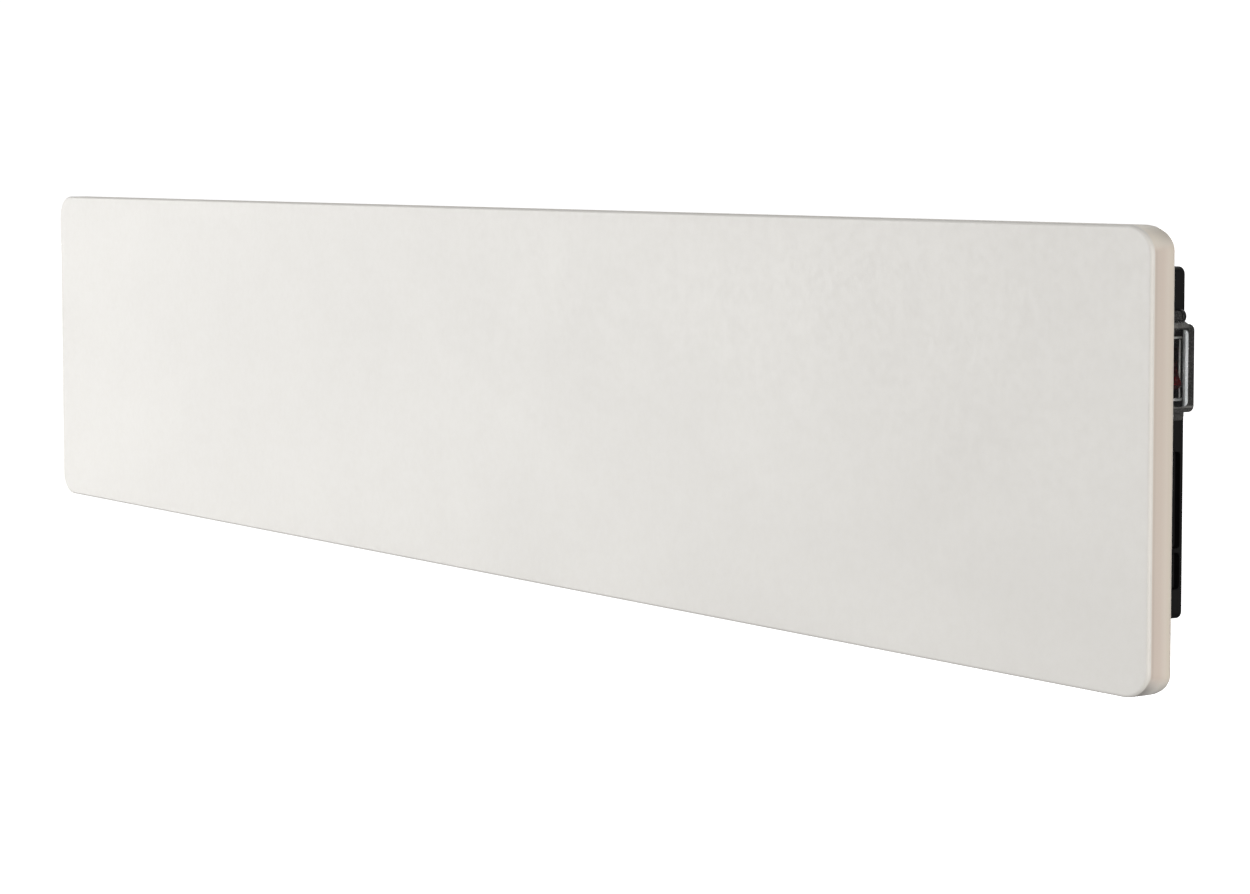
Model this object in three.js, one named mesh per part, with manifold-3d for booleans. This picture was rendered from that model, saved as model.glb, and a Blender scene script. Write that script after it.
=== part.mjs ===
// Wall-hung infrared panel heater.
//
// A thick rounded slab is the radiating front. A shallow sheet-steel housing on
// its back holds the etched heating element, the insulation and, in a bay at the
// right-hand end, the controls. A rocker switch under a clear flip lid sits on
// the right side wall of the housing. The heater hangs by a folded hanger on a
// folded wall rail and lifts off it upwards.
//
// Millimetres. +X to the right seen from the front, +Y into the wall, +Z up.
// The origin is the middle of the wall rail's back face, so the wall is Y = 0
// and everything lies at Y < 0.

import * as THREE from 'three';
import { mergeVertices } from 'three/addons/utils/BufferGeometryUtils.js';
import Module from 'manifold-3d';

const wasm = await Module();
wasm.setup();

// ---------------------------------------------------------------- dimensions
const SLAB_W = 1400;          // slab width
const SLAB_H = 250;           // slab height
const SLAB_T = 17;            // slab thickness
const SLAB_RX = 23;           // slab corner, along the width
const SLAB_RZ = 13;           // slab corner, along the height
const SLAB_EDGE = 1.75;       // rounding of the slab's front and back edges

const WALL_GAP = 12;          // housing back to wall
const HOUSING_D = 25;         // housing depth behind the slab
const HOUSING_X = 679.2;      // housing half width
const HOUSING_Z0 = -86;       // housing underside
const HOUSING_Z1 = 102.5;     // housing top
const HOUSING_R = 4;          // housing corner radius, seen from behind
const HOUSING_EDGE = 1.8;     // bend radius of the housing's back edge
const SHEET = 1.5;            // housing sheet thickness
const GAP = 0.3;              // clearance between pieces that touch

const Y_HB = -WALL_GAP;                   // housing back
const Y_HI = Y_HB - SHEET;                // inside of the housing's back wall
const Y_SB = Y_HB - HOUSING_D;            // slab back
const Y_SF = Y_SB - SLAB_T;               // slab front

const BAY_X = 548;            // divider between heated part and control bay

const SW_Y = -25.5;           // switch centre
const SW_Z = 48.5;
const LID_Z0 = 25.8;          // lid underside
const LID_Z1 = 72.6;          // lid top
const LID_HALF = 9.75;        // lid half width along Y
const LID_OUT = 12.2;         // how far the lid stands out from the side wall
const HINGE_P = 3.6;          // lid hinge axis, out from the side wall
const HINGE_Z = 76.4;
const ROCKER_P = -2.5;        // rocker pivot, out from the side wall
const ROCKER_TILT = 12;       // degrees either side of level
const BASE_Z0 = 20.9;         // foot of the switch's base frame
const BASE_SCREW_Z = 23.2;    // screw through that foot

const SLOT_Y0 = -28.6;        // pressed recess in the right side wall
const SLOT_Y1 = -14.8;
const SLOT_Z0 = -70;
const SLOT_Z1 = 4;
const SLOT_RIB = [-50, -48];  // rib that parts the recess in two
const SLOT_DEEP = 4;          // depth of the recess

const RAIL_HALF = 280;        // wall rail half length
const HANGER_HALF = 260;      // hanger half length
const GLAND_X = 600;          // cable gland centre
const GLAND_Y = -26;

const BOSS_X = [-640, 0, 640];
const BOSS_Z = [-69, 86];
const CUTOUT_X = 500;         // thermal cut-out centre
const CUTOUT_Z = 8;

// ------------------------------------------------------------------- helpers
function solid(geometry) {
  let g = geometry.clone();
  for (const name of ['normal', 'uv', 'uv1', 'color']) g.deleteAttribute(name);
  g = mergeVertices(g, 1e-4);
  const vertProperties = new Float32Array(g.attributes.position.array);
  const triVerts = new Uint32Array(g.index.array);
  return new wasm.Manifold(new wasm.Mesh({ numProp: 3, vertProperties, triVerts }));
}

function geometryOf(manifold) {
  const mesh = manifold.getMesh();
  const g = new THREE.BufferGeometry();
  const out = new Float32Array(mesh.numVert * 3);
  for (let i = 0; i < mesh.numVert; i++) {
    for (let k = 0; k < 3; k++) out[i * 3 + k] = mesh.vertProperties[i * mesh.numProp + k];
  }
  g.setAttribute('position', new THREE.BufferAttribute(out, 3));
  g.setIndex(new THREE.BufferAttribute(new Uint32Array(mesh.triVerts), 1));
  return g;
}

function cut(base, ...tools) {
  let s = solid(base);
  for (const t of tools) s = s.subtract(solid(t));
  return geometryOf(s);
}

function join(base, ...others) {
  let s = solid(base);
  for (const t of others) s = s.add(solid(t));
  return geometryOf(s);
}

function common(a, b) {
  return geometryOf(solid(a).intersect(solid(b)));
}

function box(x0, x1, y0, y1, z0, z1) {
  const g = new THREE.BoxGeometry(x1 - x0, y1 - y0, z1 - z0);
  g.translate((x0 + x1) / 2, (y0 + y1) / 2, (z0 + z1) / 2);
  return g;
}

// Rounded rectangle around (cx, cy).
function rounded(w, h, r, cx = 0, cy = 0) {
  const s = new THREE.Shape();
  const a = w / 2;
  const b = h / 2;
  s.moveTo(cx - a + r, cy - b);
  s.lineTo(cx + a - r, cy - b);
  s.absarc(cx + a - r, cy - b + r, r, -Math.PI / 2, 0, false);
  s.lineTo(cx + a, cy + b - r);
  s.absarc(cx + a - r, cy + b - r, r, 0, Math.PI / 2, false);
  s.lineTo(cx - a + r, cy + b);
  s.absarc(cx - a + r, cy + b - r, r, Math.PI / 2, Math.PI, false);
  s.lineTo(cx - a, cy - b + r);
  s.absarc(cx - a + r, cy - b + r, r, Math.PI, Math.PI * 1.5, false);
  return s;
}

// Rectangle with elliptical corners around the origin.
function oval(w, h, rx, ry) {
  const s = new THREE.Shape();
  const a = w / 2;
  const b = h / 2;
  s.moveTo(-a + rx, -b);
  s.lineTo(a - rx, -b);
  s.absellipse(a - rx, -b + ry, rx, ry, -Math.PI / 2, 0, false, 0);
  s.lineTo(a, b - ry);
  s.absellipse(a - rx, b - ry, rx, ry, 0, Math.PI / 2, false, 0);
  s.lineTo(-a + rx, b);
  s.absellipse(-a + rx, b - ry, rx, ry, Math.PI / 2, Math.PI, false, 0);
  s.lineTo(-a, -b + ry);
  s.absellipse(-a + rx, -b + ry, rx, ry, Math.PI, Math.PI * 1.5, false, 0);
  return s;
}

function polygon(points) {
  const s = new THREE.Shape();
  points.forEach(([x, y], i) => (i ? s.lineTo(x, y) : s.moveTo(x, y)));
  s.closePath();
  return s;
}

// A shape drawn in X-Z, filling Y from y0 to y1.
function alongY(shape, y0, y1, options = {}) {
  const g = new THREE.ExtrudeGeometry(shape, {
    depth: y1 - y0, bevelEnabled: false, curveSegments: 6, ...options,
  });
  g.rotateX(Math.PI / 2);
  g.translate(0, y1, 0);
  return g;
}

// A shape drawn in Y-Z, filling X from x0 to x1.
function alongX(shape, x0, x1, options = {}) {
  const g = new THREE.ExtrudeGeometry(shape, {
    depth: x1 - x0, bevelEnabled: false, curveSegments: 6, ...options,
  });
  g.applyMatrix4(new THREE.Matrix4().set(
    0, 0, 1, x0,
    1, 0, 0, 0,
    0, 1, 0, 0,
    0, 0, 0, 1,
  ));
  return g;
}

function rodY(r, x, z, y0, y1, n = 16) {
  const g = new THREE.CylinderGeometry(r, r, y1 - y0, n);
  g.translate(x, (y0 + y1) / 2, z);
  return g;
}

function rodX(r, y, z, x0, x1, n = 16) {
  const g = new THREE.CylinderGeometry(r, r, x1 - x0, n);
  g.rotateZ(Math.PI / 2);
  g.translate((x0 + x1) / 2, y, z);
  return g;
}

function rodZ(r, x, y, z0, z1, n = 16) {
  const g = new THREE.CylinderGeometry(r, r, z1 - z0, n);
  g.rotateX(Math.PI / 2);
  g.translate(x, y, (z0 + z1) / 2);
  return g;
}

// A turned part about Z; profile is a closed or axis-to-axis list of [r, z].
function turned(profile, n = 16) {
  const g = new THREE.LatheGeometry(profile.map(([r, z]) => new THREE.Vector2(r, z)), n);
  g.rotateX(Math.PI / 2);
  return g;
}

function wire(points, r, steps) {
  const path = new THREE.CatmullRomCurve3(
    points.map((p) => new THREE.Vector3(...p)), false, 'centripetal');
  const section = new THREE.Shape();
  section.absarc(0, 0, r, 0, Math.PI * 2, false);
  return new THREE.ExtrudeGeometry(section, {
    steps, curveSegments: 4, bevelEnabled: false, extrudePath: path,
  });
}

function material(color, roughness, metalness, extra = {}) {
  return new THREE.MeshStandardMaterial({ color, roughness, metalness, ...extra });
}

function piece(parent, name, geometry, mat, place) {
  const mesh = new THREE.Mesh(geometry, mat);
  mesh.name = name;
  if (place) mesh.position.set(...place);
  parent.add(mesh);
  return mesh;
}

// ----------------------------------------------------------------- materials
const SLAB = material(0xe2dfd9, 0.38, 0.0);
const BLACK_STEEL = material(0x151517, 0.55, 0.3);
const ZINC = material(0xb4b7ba, 0.35, 0.9);
const SCREW = material(0x8d9093, 0.32, 0.95);
const DARK_SCREW = material(0x2b2c2e, 0.4, 0.85);
const FOIL = material(0xd5d7d9, 0.22, 0.95);
const ETCHED = material(0x8a6f52, 0.4, 0.85);
const CARRIER = material(0xc9a65c, 0.6, 0.0);
const WOOL = material(0xe4ddc4, 0.95, 0.0);
const BOARD = material(0x1f6b3c, 0.45, 0.0);
const BLACK_PLASTIC = material(0x17181a, 0.5, 0.0);
const SMOKE = material(0x4a4a4a, 0.35, 0.0);
const CLEAR = material(0xcfd3d4, 0.1, 0.0, { transparent: true, opacity: 0.45 });
const RED = material(0xa31a1c, 0.25, 0.0);
const RUBBER = material(0x1b1b1c, 0.85, 0.0);
const CERAMIC = material(0xe9e4d6, 0.5, 0.0);
const BLUE_CASE = material(0x2c62a8, 0.4, 0.0);
const BROWN_WIRE = material(0x5a3420, 0.5, 0.0);
const BLUE_WIRE = material(0x2a55a5, 0.5, 0.0);
const GREEN_WIRE = material(0x5f9b2f, 0.5, 0.0);
const WHITE_WIRE = material(0xe6e3da, 0.6, 0.0);
const BRASS = material(0xc1a052, 0.35, 0.9);

// ---------------------------------------------------------------- assemblies
const heater = new THREE.Group();       // the whole object
const fixed = new THREE.Group();        // stays on the wall
const unit = new THREE.Group();         // lifts off the rail
const switchGroup = new THREE.Group();  // switch, origin on the side wall
heater.add(fixed, unit);
unit.add(switchGroup);
switchGroup.position.set(HOUSING_X, SW_Y, SW_Z);

// ------------------------------------------------------------------ wall rail
// Flat plate on the wall, folded forward at its top and up again into a lip.
{
  const t = 2;
  const section = polygon([
    [0, -45], [0, 30], [-5.1, 30], [-5.1, 42], [-5.1 - t, 42], [-5.1 - t, 30 - t],
    [-t, 30 - t], [-t, -45],
  ]);
  const rail = alongX(section, -RAIL_HALF, RAIL_HALF);
  const holes = [-220, -90, 90, 220].map((x) => rodY(2.6, x, -12, -5, 5));
  piece(fixed, 'wall_rail', cut(rail, ...holes), ZINC);
}

// ----------------------------------------------------------------------- slab
{
  const e = SLAB_EDGE;
  const outline = oval(SLAB_W - 2 * e, SLAB_H - 2 * e, SLAB_RX - e, SLAB_RZ - e);
  const slab = alongY(outline, Y_SF + e, Y_SB - e, {
    bevelEnabled: true, bevelThickness: e, bevelSize: e, bevelSegments: 3, curveSegments: 8,
  });
  piece(unit, 'front_slab', slab, SLAB);
}

// ---------------------------------------------------------------- heating set
const MAT_X0 = -622;
const MAT_X1 = 538;
piece(unit, 'heating_mat',
  box(MAT_X0, MAT_X1, Y_SB + GAP, Y_SB + 1.1, -57, 74), CARRIER);

// Etched resistance track: one flat ribbon folded into eight lanes.
{
  const half = 3.2;
  const lanes = 8;
  const pitch = 15;
  const x0 = MAT_X0 + 22;
  const x1 = MAT_X1 - 12;
  const z0 = -44;
  const r = pitch / 2;
  const line = [];
  for (let k = 0; k < lanes; k++) {
    const z = z0 + k * pitch;
    const leftward = k % 2 === 0;
    const far = leftward ? x0 : x1;
    line.push(k === 0 ? [x1, z, 0, leftward ? 1 : -1] : null);
    if (k === lanes - 1) {
      line.push([far, z, 0, leftward ? 1 : -1]);
    } else {
      for (let i = 0; i <= 8; i++) {
        const a = Math.PI * (i / 8);
        const cx = far;
        const cz = z + r;
        const dx = leftward ? -Math.sin(a) : Math.sin(a);
        const dz = -Math.cos(a);
        // normal kept on the same side of the ribbon all along it
        const side = leftward ? -1 : 1;
        line.push([cx + dx * r, cz + dz * r, dx * side, dz * side]);
      }
    }
  }
  const pts = line.filter(Boolean);
  const a = pts.map(([x, z, nx, nz]) => [x + nx * half, z + nz * half]);
  const b = pts.map(([x, z, nx, nz]) => [x - nx * half, z - nz * half]).reverse();
  piece(unit, 'heating_element',
    alongY(polygon([...a, ...b]), Y_SB + 1.4, Y_SB + 1.8), ETCHED);
}

const bossPoints = [];
for (const x of BOSS_X) for (const z of BOSS_Z) bossPoints.push([x, z]);

{
  const holes = (y0, y1) => [
    ...bossPoints.slice(0, 4).map(([x, z]) => rodY(11, x, z, y0, y1, 20)),
    rodY(10, CUTOUT_X, CUTOUT_Z, y0, y1, 20),
    rodY(4, 514, 61, y0, y1, 12),
  ];
  piece(unit, 'reflector_foil',
    cut(box(-672, 545, Y_SB + 2.1, Y_SB + 2.4, -82, 99), ...holes(-60, 0)), FOIL);
  piece(unit, 'insulation_board',
    cut(box(-672, 545, Y_SB + 2.7, Y_SB + 12.7, -82, 99), ...holes(-60, 0)), WOOL);
}

// -------------------------------------------------------------------- housing
// Folded tray, open towards the slab.
{
  const w = HOUSING_X * 2;
  const h = HOUSING_Z1 - HOUSING_Z0;
  const cz = (HOUSING_Z0 + HOUSING_Z1) / 2;
  const tray = (inset, backY, e, r) => {
    const outline = rounded(w - 2 * inset - 2 * e, h - 2 * inset - 2 * e, r - e, 0, cz);
    return alongY(outline, -70, backY - e, {
      bevelEnabled: true, bevelThickness: e, bevelSize: e, bevelSegments: 3, curveSegments: 3,
    });
  };
  const outer = common(
    tray(0, Y_HB, HOUSING_EDGE, HOUSING_R),
    box(-800, 800, Y_SB + GAP, 10, -200, 200));
  const inner = tray(SHEET, Y_HI, HOUSING_EDGE - SHEET, HOUSING_R - SHEET);
  const slot = (z0, z1) => alongX(
    rounded(SLOT_Y1 - SLOT_Y0, z1 - z0, 2.2, (SLOT_Y0 + SLOT_Y1) / 2, (z0 + z1) / 2),
    HOUSING_X - SLOT_DEEP, HOUSING_X + 6, { curveSegments: 4 });
  const pocket = box(HOUSING_X - SLOT_DEEP - SHEET, HOUSING_X - 0.5,
    SLOT_Y0 - SHEET, Y_HI + 0.3, SLOT_Z0 - SHEET, SLOT_Z1 + SHEET);
  const vents = [];
  for (let i = 0; i < 6; i++) {
    const x = 566 + i * 9;
    vents.push(box(x, x + 3, -31, -18, HOUSING_Z1 - 5, HOUSING_Z1 + 5));
  }
  for (let i = 0; i < 4; i++) {
    const x = 630 + i * 9;
    vents.push(box(x, x + 3, -31, -18, HOUSING_Z0 - 5, HOUSING_Z0 + 5));
  }
  const tools = [
    slot(SLOT_RIB[1], SLOT_Z1),
    slot(SLOT_Z0, SLOT_RIB[0]),
    box(HOUSING_X - 5, HOUSING_X + 5, SW_Y - 7, SW_Y + 7, SW_Z - 14.2, SW_Z + 14.2),
    rodX(1.6, SW_Y, BASE_SCREW_Z, HOUSING_X - 5, HOUSING_X + 5, 12),
    ...bossPoints.map(([x, z]) => rodY(2.6, x, z, -20, 0, 12)),
    ...[-200, 200].map((x) => rodY(2.6, x, 20, -20, 0, 12)),
    ...[562, 622].map((x) => rodY(2, x, -58, -20, 0, 10)),
    box(568, 616, -20, 0, -74, -42),
    rodZ(8.2, GLAND_X, GLAND_Y, HOUSING_Z0 - 8, HOUSING_Z0 + 8, 24),
    ...vents,
  ];
  piece(unit, 'rear_housing', cut(join(cut(outer, inner), pocket), ...tools), BLACK_STEEL);
}

// Posts bonded to the slab's back, tapped from behind, and their screws.
{
  const post = turned([
    [0, Y_SB + GAP], [9, Y_SB + GAP], [9, Y_SB + 2], [6, Y_SB + 2], [6, Y_HI - GAP],
    [2.3, Y_HI - GAP], [2.3, Y_HI - 9], [0, Y_HI - 9],
  ], 12);
  // from along Z to along Y
  post.rotateX(-Math.PI / 2);
  const screw = turned([
    [0, Y_HI - 8], [2, Y_HI - 8], [2, Y_HB + 0.2], [4.2, Y_HB + 0.2], [4.2, Y_HB + 1.4],
    [3.2, Y_HB + 2.2], [0, Y_HB + 2.2],
  ], 12);
  screw.rotateX(-Math.PI / 2);
  bossPoints.forEach(([x, z], i) => {
    piece(unit, `slab_post_${i + 1}`, post, ZINC, [x, 0, z]);
    piece(unit, `housing_screw_${i + 1}`, screw, DARK_SCREW, [x, 0, z]);
  });
}

// Hanger: folded strip on the housing's back that hooks over the rail's lip.
{
  const section = polygon([
    [-11.8, 8], [-9.8, 8], [-9.8, 42.3], [-4.6, 42.3], [-4.6, 31.5], [-2.6, 31.5],
    [-2.6, 44.3], [-11.8, 44.3],
  ]);
  const holes = [-200, 200].map((x) => rodY(2.6, x, 20, -20, 0, 12));
  piece(unit, 'hanger_rail', cut(alongX(section, -HANGER_HALF, HANGER_HALF), ...holes), ZINC);
  const screw = turned([
    [0, -18], [2, -18], [2, -9.6], [4.2, -9.6], [4.2, -8.6], [3.2, -7.8], [0, -7.8],
  ], 12);
  screw.rotateX(-Math.PI / 2);
  [-200, 200].forEach((x, i) => piece(unit, `hanger_screw_${i + 1}`, screw, SCREW, [x, 0, 20]));
}

// Rubber pads that keep the lower edge off the wall.
{
  const pad = turned([
    [0, -11.8], [11, -11.8], [11, -2], [9.3, -0.3], [0, -0.3],
  ], 20);
  pad.rotateX(-Math.PI / 2);
  piece(unit, 'spacer_pad_left', pad, RUBBER, [-500, 0, -62]);
  piece(unit, 'spacer_pad_right', pad, RUBBER, [500, 0, -62]);
}

// Service cover over the wiring opening.
{
  const cover = alongY(rounded(72, 46, 4, 592, -58), -11.8, -10.6, { curveSegments: 4 });
  const holes = [562, 622].map((x) => rodY(2, x, -58, -20, 0, 10));
  piece(unit, 'service_cover', cut(cover, ...holes), BLACK_STEEL);
  const screw = turned([
    [0, -18], [1.6, -18], [1.6, -10.4], [3.4, -10.4], [3.4, -9.5], [2.6, -8.9], [0, -8.9],
  ], 12);
  screw.rotateX(-Math.PI / 2);
  [562, 622].forEach((x, i) => piece(unit, `cover_screw_${i + 1}`, screw, DARK_SCREW, [x, 0, -58]));
}

// ---------------------------------------------------------------- control bay
{
  const wall = polygon([
    [BAY_X, -36.4], [BAY_X + 1.2, -36.4], [BAY_X + 1.2, -13.8], [BAY_X - 12, -13.8],
    [BAY_X - 12, -15], [BAY_X, -15],
  ]);
  const g = new THREE.ExtrudeGeometry(wall, { depth: 181, bevelEnabled: false });
  g.translate(0, 0, -82);
  piece(unit, 'bay_divider',
    cut(g, rodX(4.5, -20, 8, BAY_X - 5, BAY_X + 5), rodX(4.5, -20, 61, BAY_X - 5, BAY_X + 5)),
    ZINC);
}

piece(unit, 'control_pcb', box(566, 626, -19.6, -18, -8, 92), BOARD);
piece(unit, 'pcb_rail_lower', box(570, 622, -17.7, -13.8, -6, 0), BLACK_PLASTIC);
piece(unit, 'pcb_rail_upper', box(570, 622, -17.7, -13.8, 84, 90), BLACK_PLASTIC);
piece(unit, 'power_relay', box(572, 591, -34.6, -19.9, 30, 46), BLUE_CASE);
piece(unit, 'power_module', box(596, 622, -33.6, -19.9, 20, 56), BLACK_PLASTIC);
piece(unit, 'filter_capacitor', rodY(6, 581, 68, -33.8, -19.9, 20), BLACK_PLASTIC);
piece(unit, 'pcb_terminal', box(604, 624, -30.5, -19.9, 68, 80), CERAMIC);
piece(unit, 'terminal_block',
  cut(box(570, 604, -31, -13.8, -36, -18),
    ...[577, 587, 597].map((x) => rodY(2.4, x, -27, -40, -24, 10))), CERAMIC);
piece(unit, 'thermal_cutout',
  join(rodY(8, CUTOUT_X, CUTOUT_Z, Y_SB + 2.1, Y_SB + 8, 20),
    rodY(5, CUTOUT_X, CUTOUT_Z, Y_SB + 7, Y_SB + 11, 20)), CERAMIC);
piece(unit, 'temperature_sensor',
  join(rodX(2.6, -33.9, -20, 612, 634, 12), box(619, 627, -36.6, -34, -24, -16)), ZINC);
piece(unit, 'earth_stud',
  join(rodY(2.5, 656, -24, -25, -13.8, 12), rodY(4.6, 656, -24, -17.4, -13.8, 6)), BRASS);

// Leads inside the housing.
const WIRE_R = 1.2;
piece(unit, 'live_wire', wire([
  [597, -22, -17.4], [598, -22.5, -14.5], [606, -24, -12.5], [626, -27, -12],
  [643, -28, -4], [645, -27.5, 16], [640, -25.5, 33], [643.5, -25.5, 39.8], [650.8, -25.5, 40.5],
], WIRE_R, 28), BROWN_WIRE);
piece(unit, 'lamp_neutral_wire', wire([
  [587, -22, -17.4], [588, -20.6, -14.2], [600, -19.5, -12.5], [628, -19.5, -12.2],
  [650, -20, -4], [651, -20, 24], [645, -20, 50], [640.5, -22.5, 55.4], [643.5, -25.5, 56.4], [650.8, -25.5, 56.5],
], WIRE_R, 30), BLUE_WIRE);
piece(unit, 'switched_wire', wire([
  [650.8, -25.5, 48.5], [643, -25.5, 48.7], [636, -27, 54], [632, -27, 66], [630, -26, 72], [624.4, -26, 74],
], WIRE_R, 16), BROWN_WIRE);
piece(unit, 'neutral_wire', wire([
  [577, -22, -17.4], [577, -22.5, -14.2], [576, -23.5, -10], [575, -24, 2], [575, -24.4, 11], [575, -23, 13.8], [575, -19.9, 14],
], WIRE_R, 14), BLUE_WIRE);
piece(unit, 'earth_wire', wire([
  [604.5, -24, -27], [612, -24, -27.4], [630, -21.5, -31], [645, -20.5, -30], [650.9, -20.4, -26],
], WIRE_R, 14), GREEN_WIRE);
piece(unit, 'heater_lead_1', wire([
  [CUTOUT_X, -25.7, CUTOUT_Z], [CUTOUT_X + 0.8, -22.6, CUTOUT_Z], [CUTOUT_X + 5, -20.4, CUTOUT_Z], [CUTOUT_X + 14, -20, CUTOUT_Z], [545, -20, CUTOUT_Z],
  [556, -20.5, 9], [563, -23, 16], [570, -24, 22], [574, -24.4, 25], [577, -23, 27], [577, -19.9, 27.2],
], WIRE_R, 24), WHITE_WIRE);
piece(unit, 'heater_lead_2', wire([
  [514, Y_SB + 2.2, 61], [514, -28, 61], [514.6, -23.4, 61], [518, -20.5, 61], [526, -20, 61], [545, -20, 61],
  [554, -20.3, 61], [560, -23, 58], [566, -24, 52], [572, -24, 50.4], [574, -22.8, 50], [574, -19.9, 50],
], WIRE_R, 24), WHITE_WIRE);
piece(unit, 'sensor_lead', wire([
  [611.6, -33.9, -20], [607, -33.6, -19], [603, -31, -14], [602, -26.5, -6], [602, -24.6, 1], [602, -22.8, 4.8], [602, -19.9, 5],
], 0.9, 14), WHITE_WIRE);

// Cable gland in the underside, with its lock nut inside.
{
  const z = HOUSING_Z0;
  const gland = turned([
    [4, z + 7], [4, z - 15.6], [7.4, z - 15], [9.6, z - 10], [9.6, z - 4.4], [10.4, z - 4],
    [10.4, z - 0.3], [7.8, z - 0.3], [7.8, z + 7], [4, z + 7],
  ], 24);
  piece(unit, 'cable_gland', gland, BLACK_PLASTIC, [GLAND_X, GLAND_Y, 0]);
  const nut = turned([
    [8.1, z + SHEET + 0.3], [9.9, z + SHEET + 0.3], [9.9, z + 5.6], [8.1, z + 5.6], [8.1, z + SHEET + 0.3],
  ], 24);
  piece(unit, 'gland_nut', nut, BLACK_PLASTIC, [GLAND_X, GLAND_Y, 0]);
}

// --------------------------------------------------------------------- switch
// Local frame: X out from the side wall, Y and Z from the switch's centre.
const LZ0 = LID_Z0 - SW_Z;
const LZ1 = LID_Z1 - SW_Z;
const LZC = (LZ0 + LZ1) / 2;
const HZ = HINGE_Z - SW_Z;

function frameX(w, h, r, x0, x1, cz = 0, options = {}) {
  return alongX(rounded(w, h, r, 0, cz), x0, x1, { curveSegments: 5, ...options });
}

const BASE_FOOT = BASE_Z0 - SW_Z;
const BASE_HEAD = LZ1 + 0.3;

piece(switchGroup, 'switch_gasket',
  cut(frameX(19.6, BASE_HEAD - BASE_FOOT - 1, 2, 0.2, 1.2, (BASE_HEAD + BASE_FOOT) / 2),
    box(-5, 5, -7.3, 7.3, -14.6, 14.6),
    rodX(1.7, 0, BASE_SCREW_Z - SW_Z, -5, 8, 12)), RUBBER);

{
  const hinge = [[-7.8, -5.6], [5.6, 7.8]].map(([a, b]) => common(
    join(rodY(3.6, HINGE_P, HZ, a, b, 20), box(1.4, 3, a, b, BASE_HEAD - 1, HZ)),
    box(1.4, 10, -20, 20, -60, 60)));
  const base = join(
    frameX(20.6, BASE_HEAD - BASE_FOOT, 2.5, 1.4, 3, (BASE_HEAD + BASE_FOOT) / 2),
    ...hinge);
  piece(switchGroup, 'switch_base', cut(base,
    box(-5, 8, -7.2, 7.2, -14.4, 14.4),
    rodY(1.15, HINGE_P, HZ, -12, 12, 12),
    rodX(1.6, 0, BASE_SCREW_Z - SW_Z, -5, 8, 12)), SMOKE);
}
{
  const screw = turned([
    [0, -7], [1.3, -7], [1.3, 3.2], [2.3, 3.2], [2.3, 3.9], [1.6, 4.5], [0, 4.5],
  ], 12);
  // profile's second number runs out of the side wall
  screw.rotateX(-Math.PI / 2);
  screw.rotateZ(-Math.PI / 2);
  piece(switchGroup, 'base_screw', screw, SCREW, [0, 0, BASE_SCREW_Z - SW_Z]);
}

const ROCKER_HALF = 10;       // half length of the rocker's faces
const ROCKER_TOP = 5.2;       // height of their meeting line over the pivot
const ROCKER_R = Math.hypot(ROCKER_HALF,
  ROCKER_TOP + ROCKER_HALF * Math.tan(ROCKER_TILT * Math.PI / 180));

// Block behind the wall with the rocker's well, and a bezel with a sunk border.
piece(switchGroup, 'switch_body', cut(
  join(frameX(13.2, 27.6, 1, -20, 3.6), frameX(16, 34.4, 1.6, 3.2, 4.2)),
  box(-7, 3, -5.45, 5.45, -ROCKER_R - 0.35, ROCKER_R + 0.35),
  box(2.5, 8, -5.45, 5.45, -11.5, 11.5),
  frameX(13, 31.4, 1, 3.75, 8),
  rodY(1.35, ROCKER_P, 0, -10, 10, 12)), BLACK_PLASTIC);
[-8, 0, 8].forEach((z, i) => piece(switchGroup, `switch_blade_${i + 1}`,
  box(-28, -20.2, -0.4, 0.4, z - 2.4, z + 2.4), BRASS));

piece(switchGroup, 'lid_hinge_pin', rodY(0.9, 0, 0, -7.6, 7.6, 12), SCREW, [HINGE_P, 0, HZ]);

// Rocker, drawn level about its pivot and then tipped with its lower end out.
{
  const rise = Math.tan(ROCKER_TILT * Math.PI / 180);
  const top = ROCKER_TOP;
  const half = ROCKER_HALF;
  const r = ROCKER_R;
  const end = Math.sqrt(r * r - 1);
  const outline = [[top, 0]];
  outline.push([top + half * rise, half]);
  const a0 = Math.atan2(half, top + half * rise);
  const a1 = Math.atan2(end, -1);
  for (let i = 1; i <= 5; i++) {
    const a = a0 + (a1 - a0) * i / 5;
    outline.push([r * Math.cos(a), r * Math.sin(a)]);
  }
  outline.push([-2.2, 6], [-2.2, -6]);
  for (let i = 5; i >= 1; i--) {
    const a = a0 + (a1 - a0) * i / 5;
    outline.push([r * Math.cos(a), -r * Math.sin(a)]);
  }
  outline.push([top + half * rise, -half]);
  const body = alongY(polygon(outline), -5.2, 5.2);
  const rocker = new THREE.Group();
  rocker.position.set(ROCKER_P, 0, 0);
  rocker.rotation.y = -ROCKER_TILT * Math.PI / 180;
  switchGroup.add(rocker);
  piece(rocker, 'rocker', join(body, rodY(1.15, 0, 0, -6.3, 6.3, 12)), RED);
}

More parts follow.
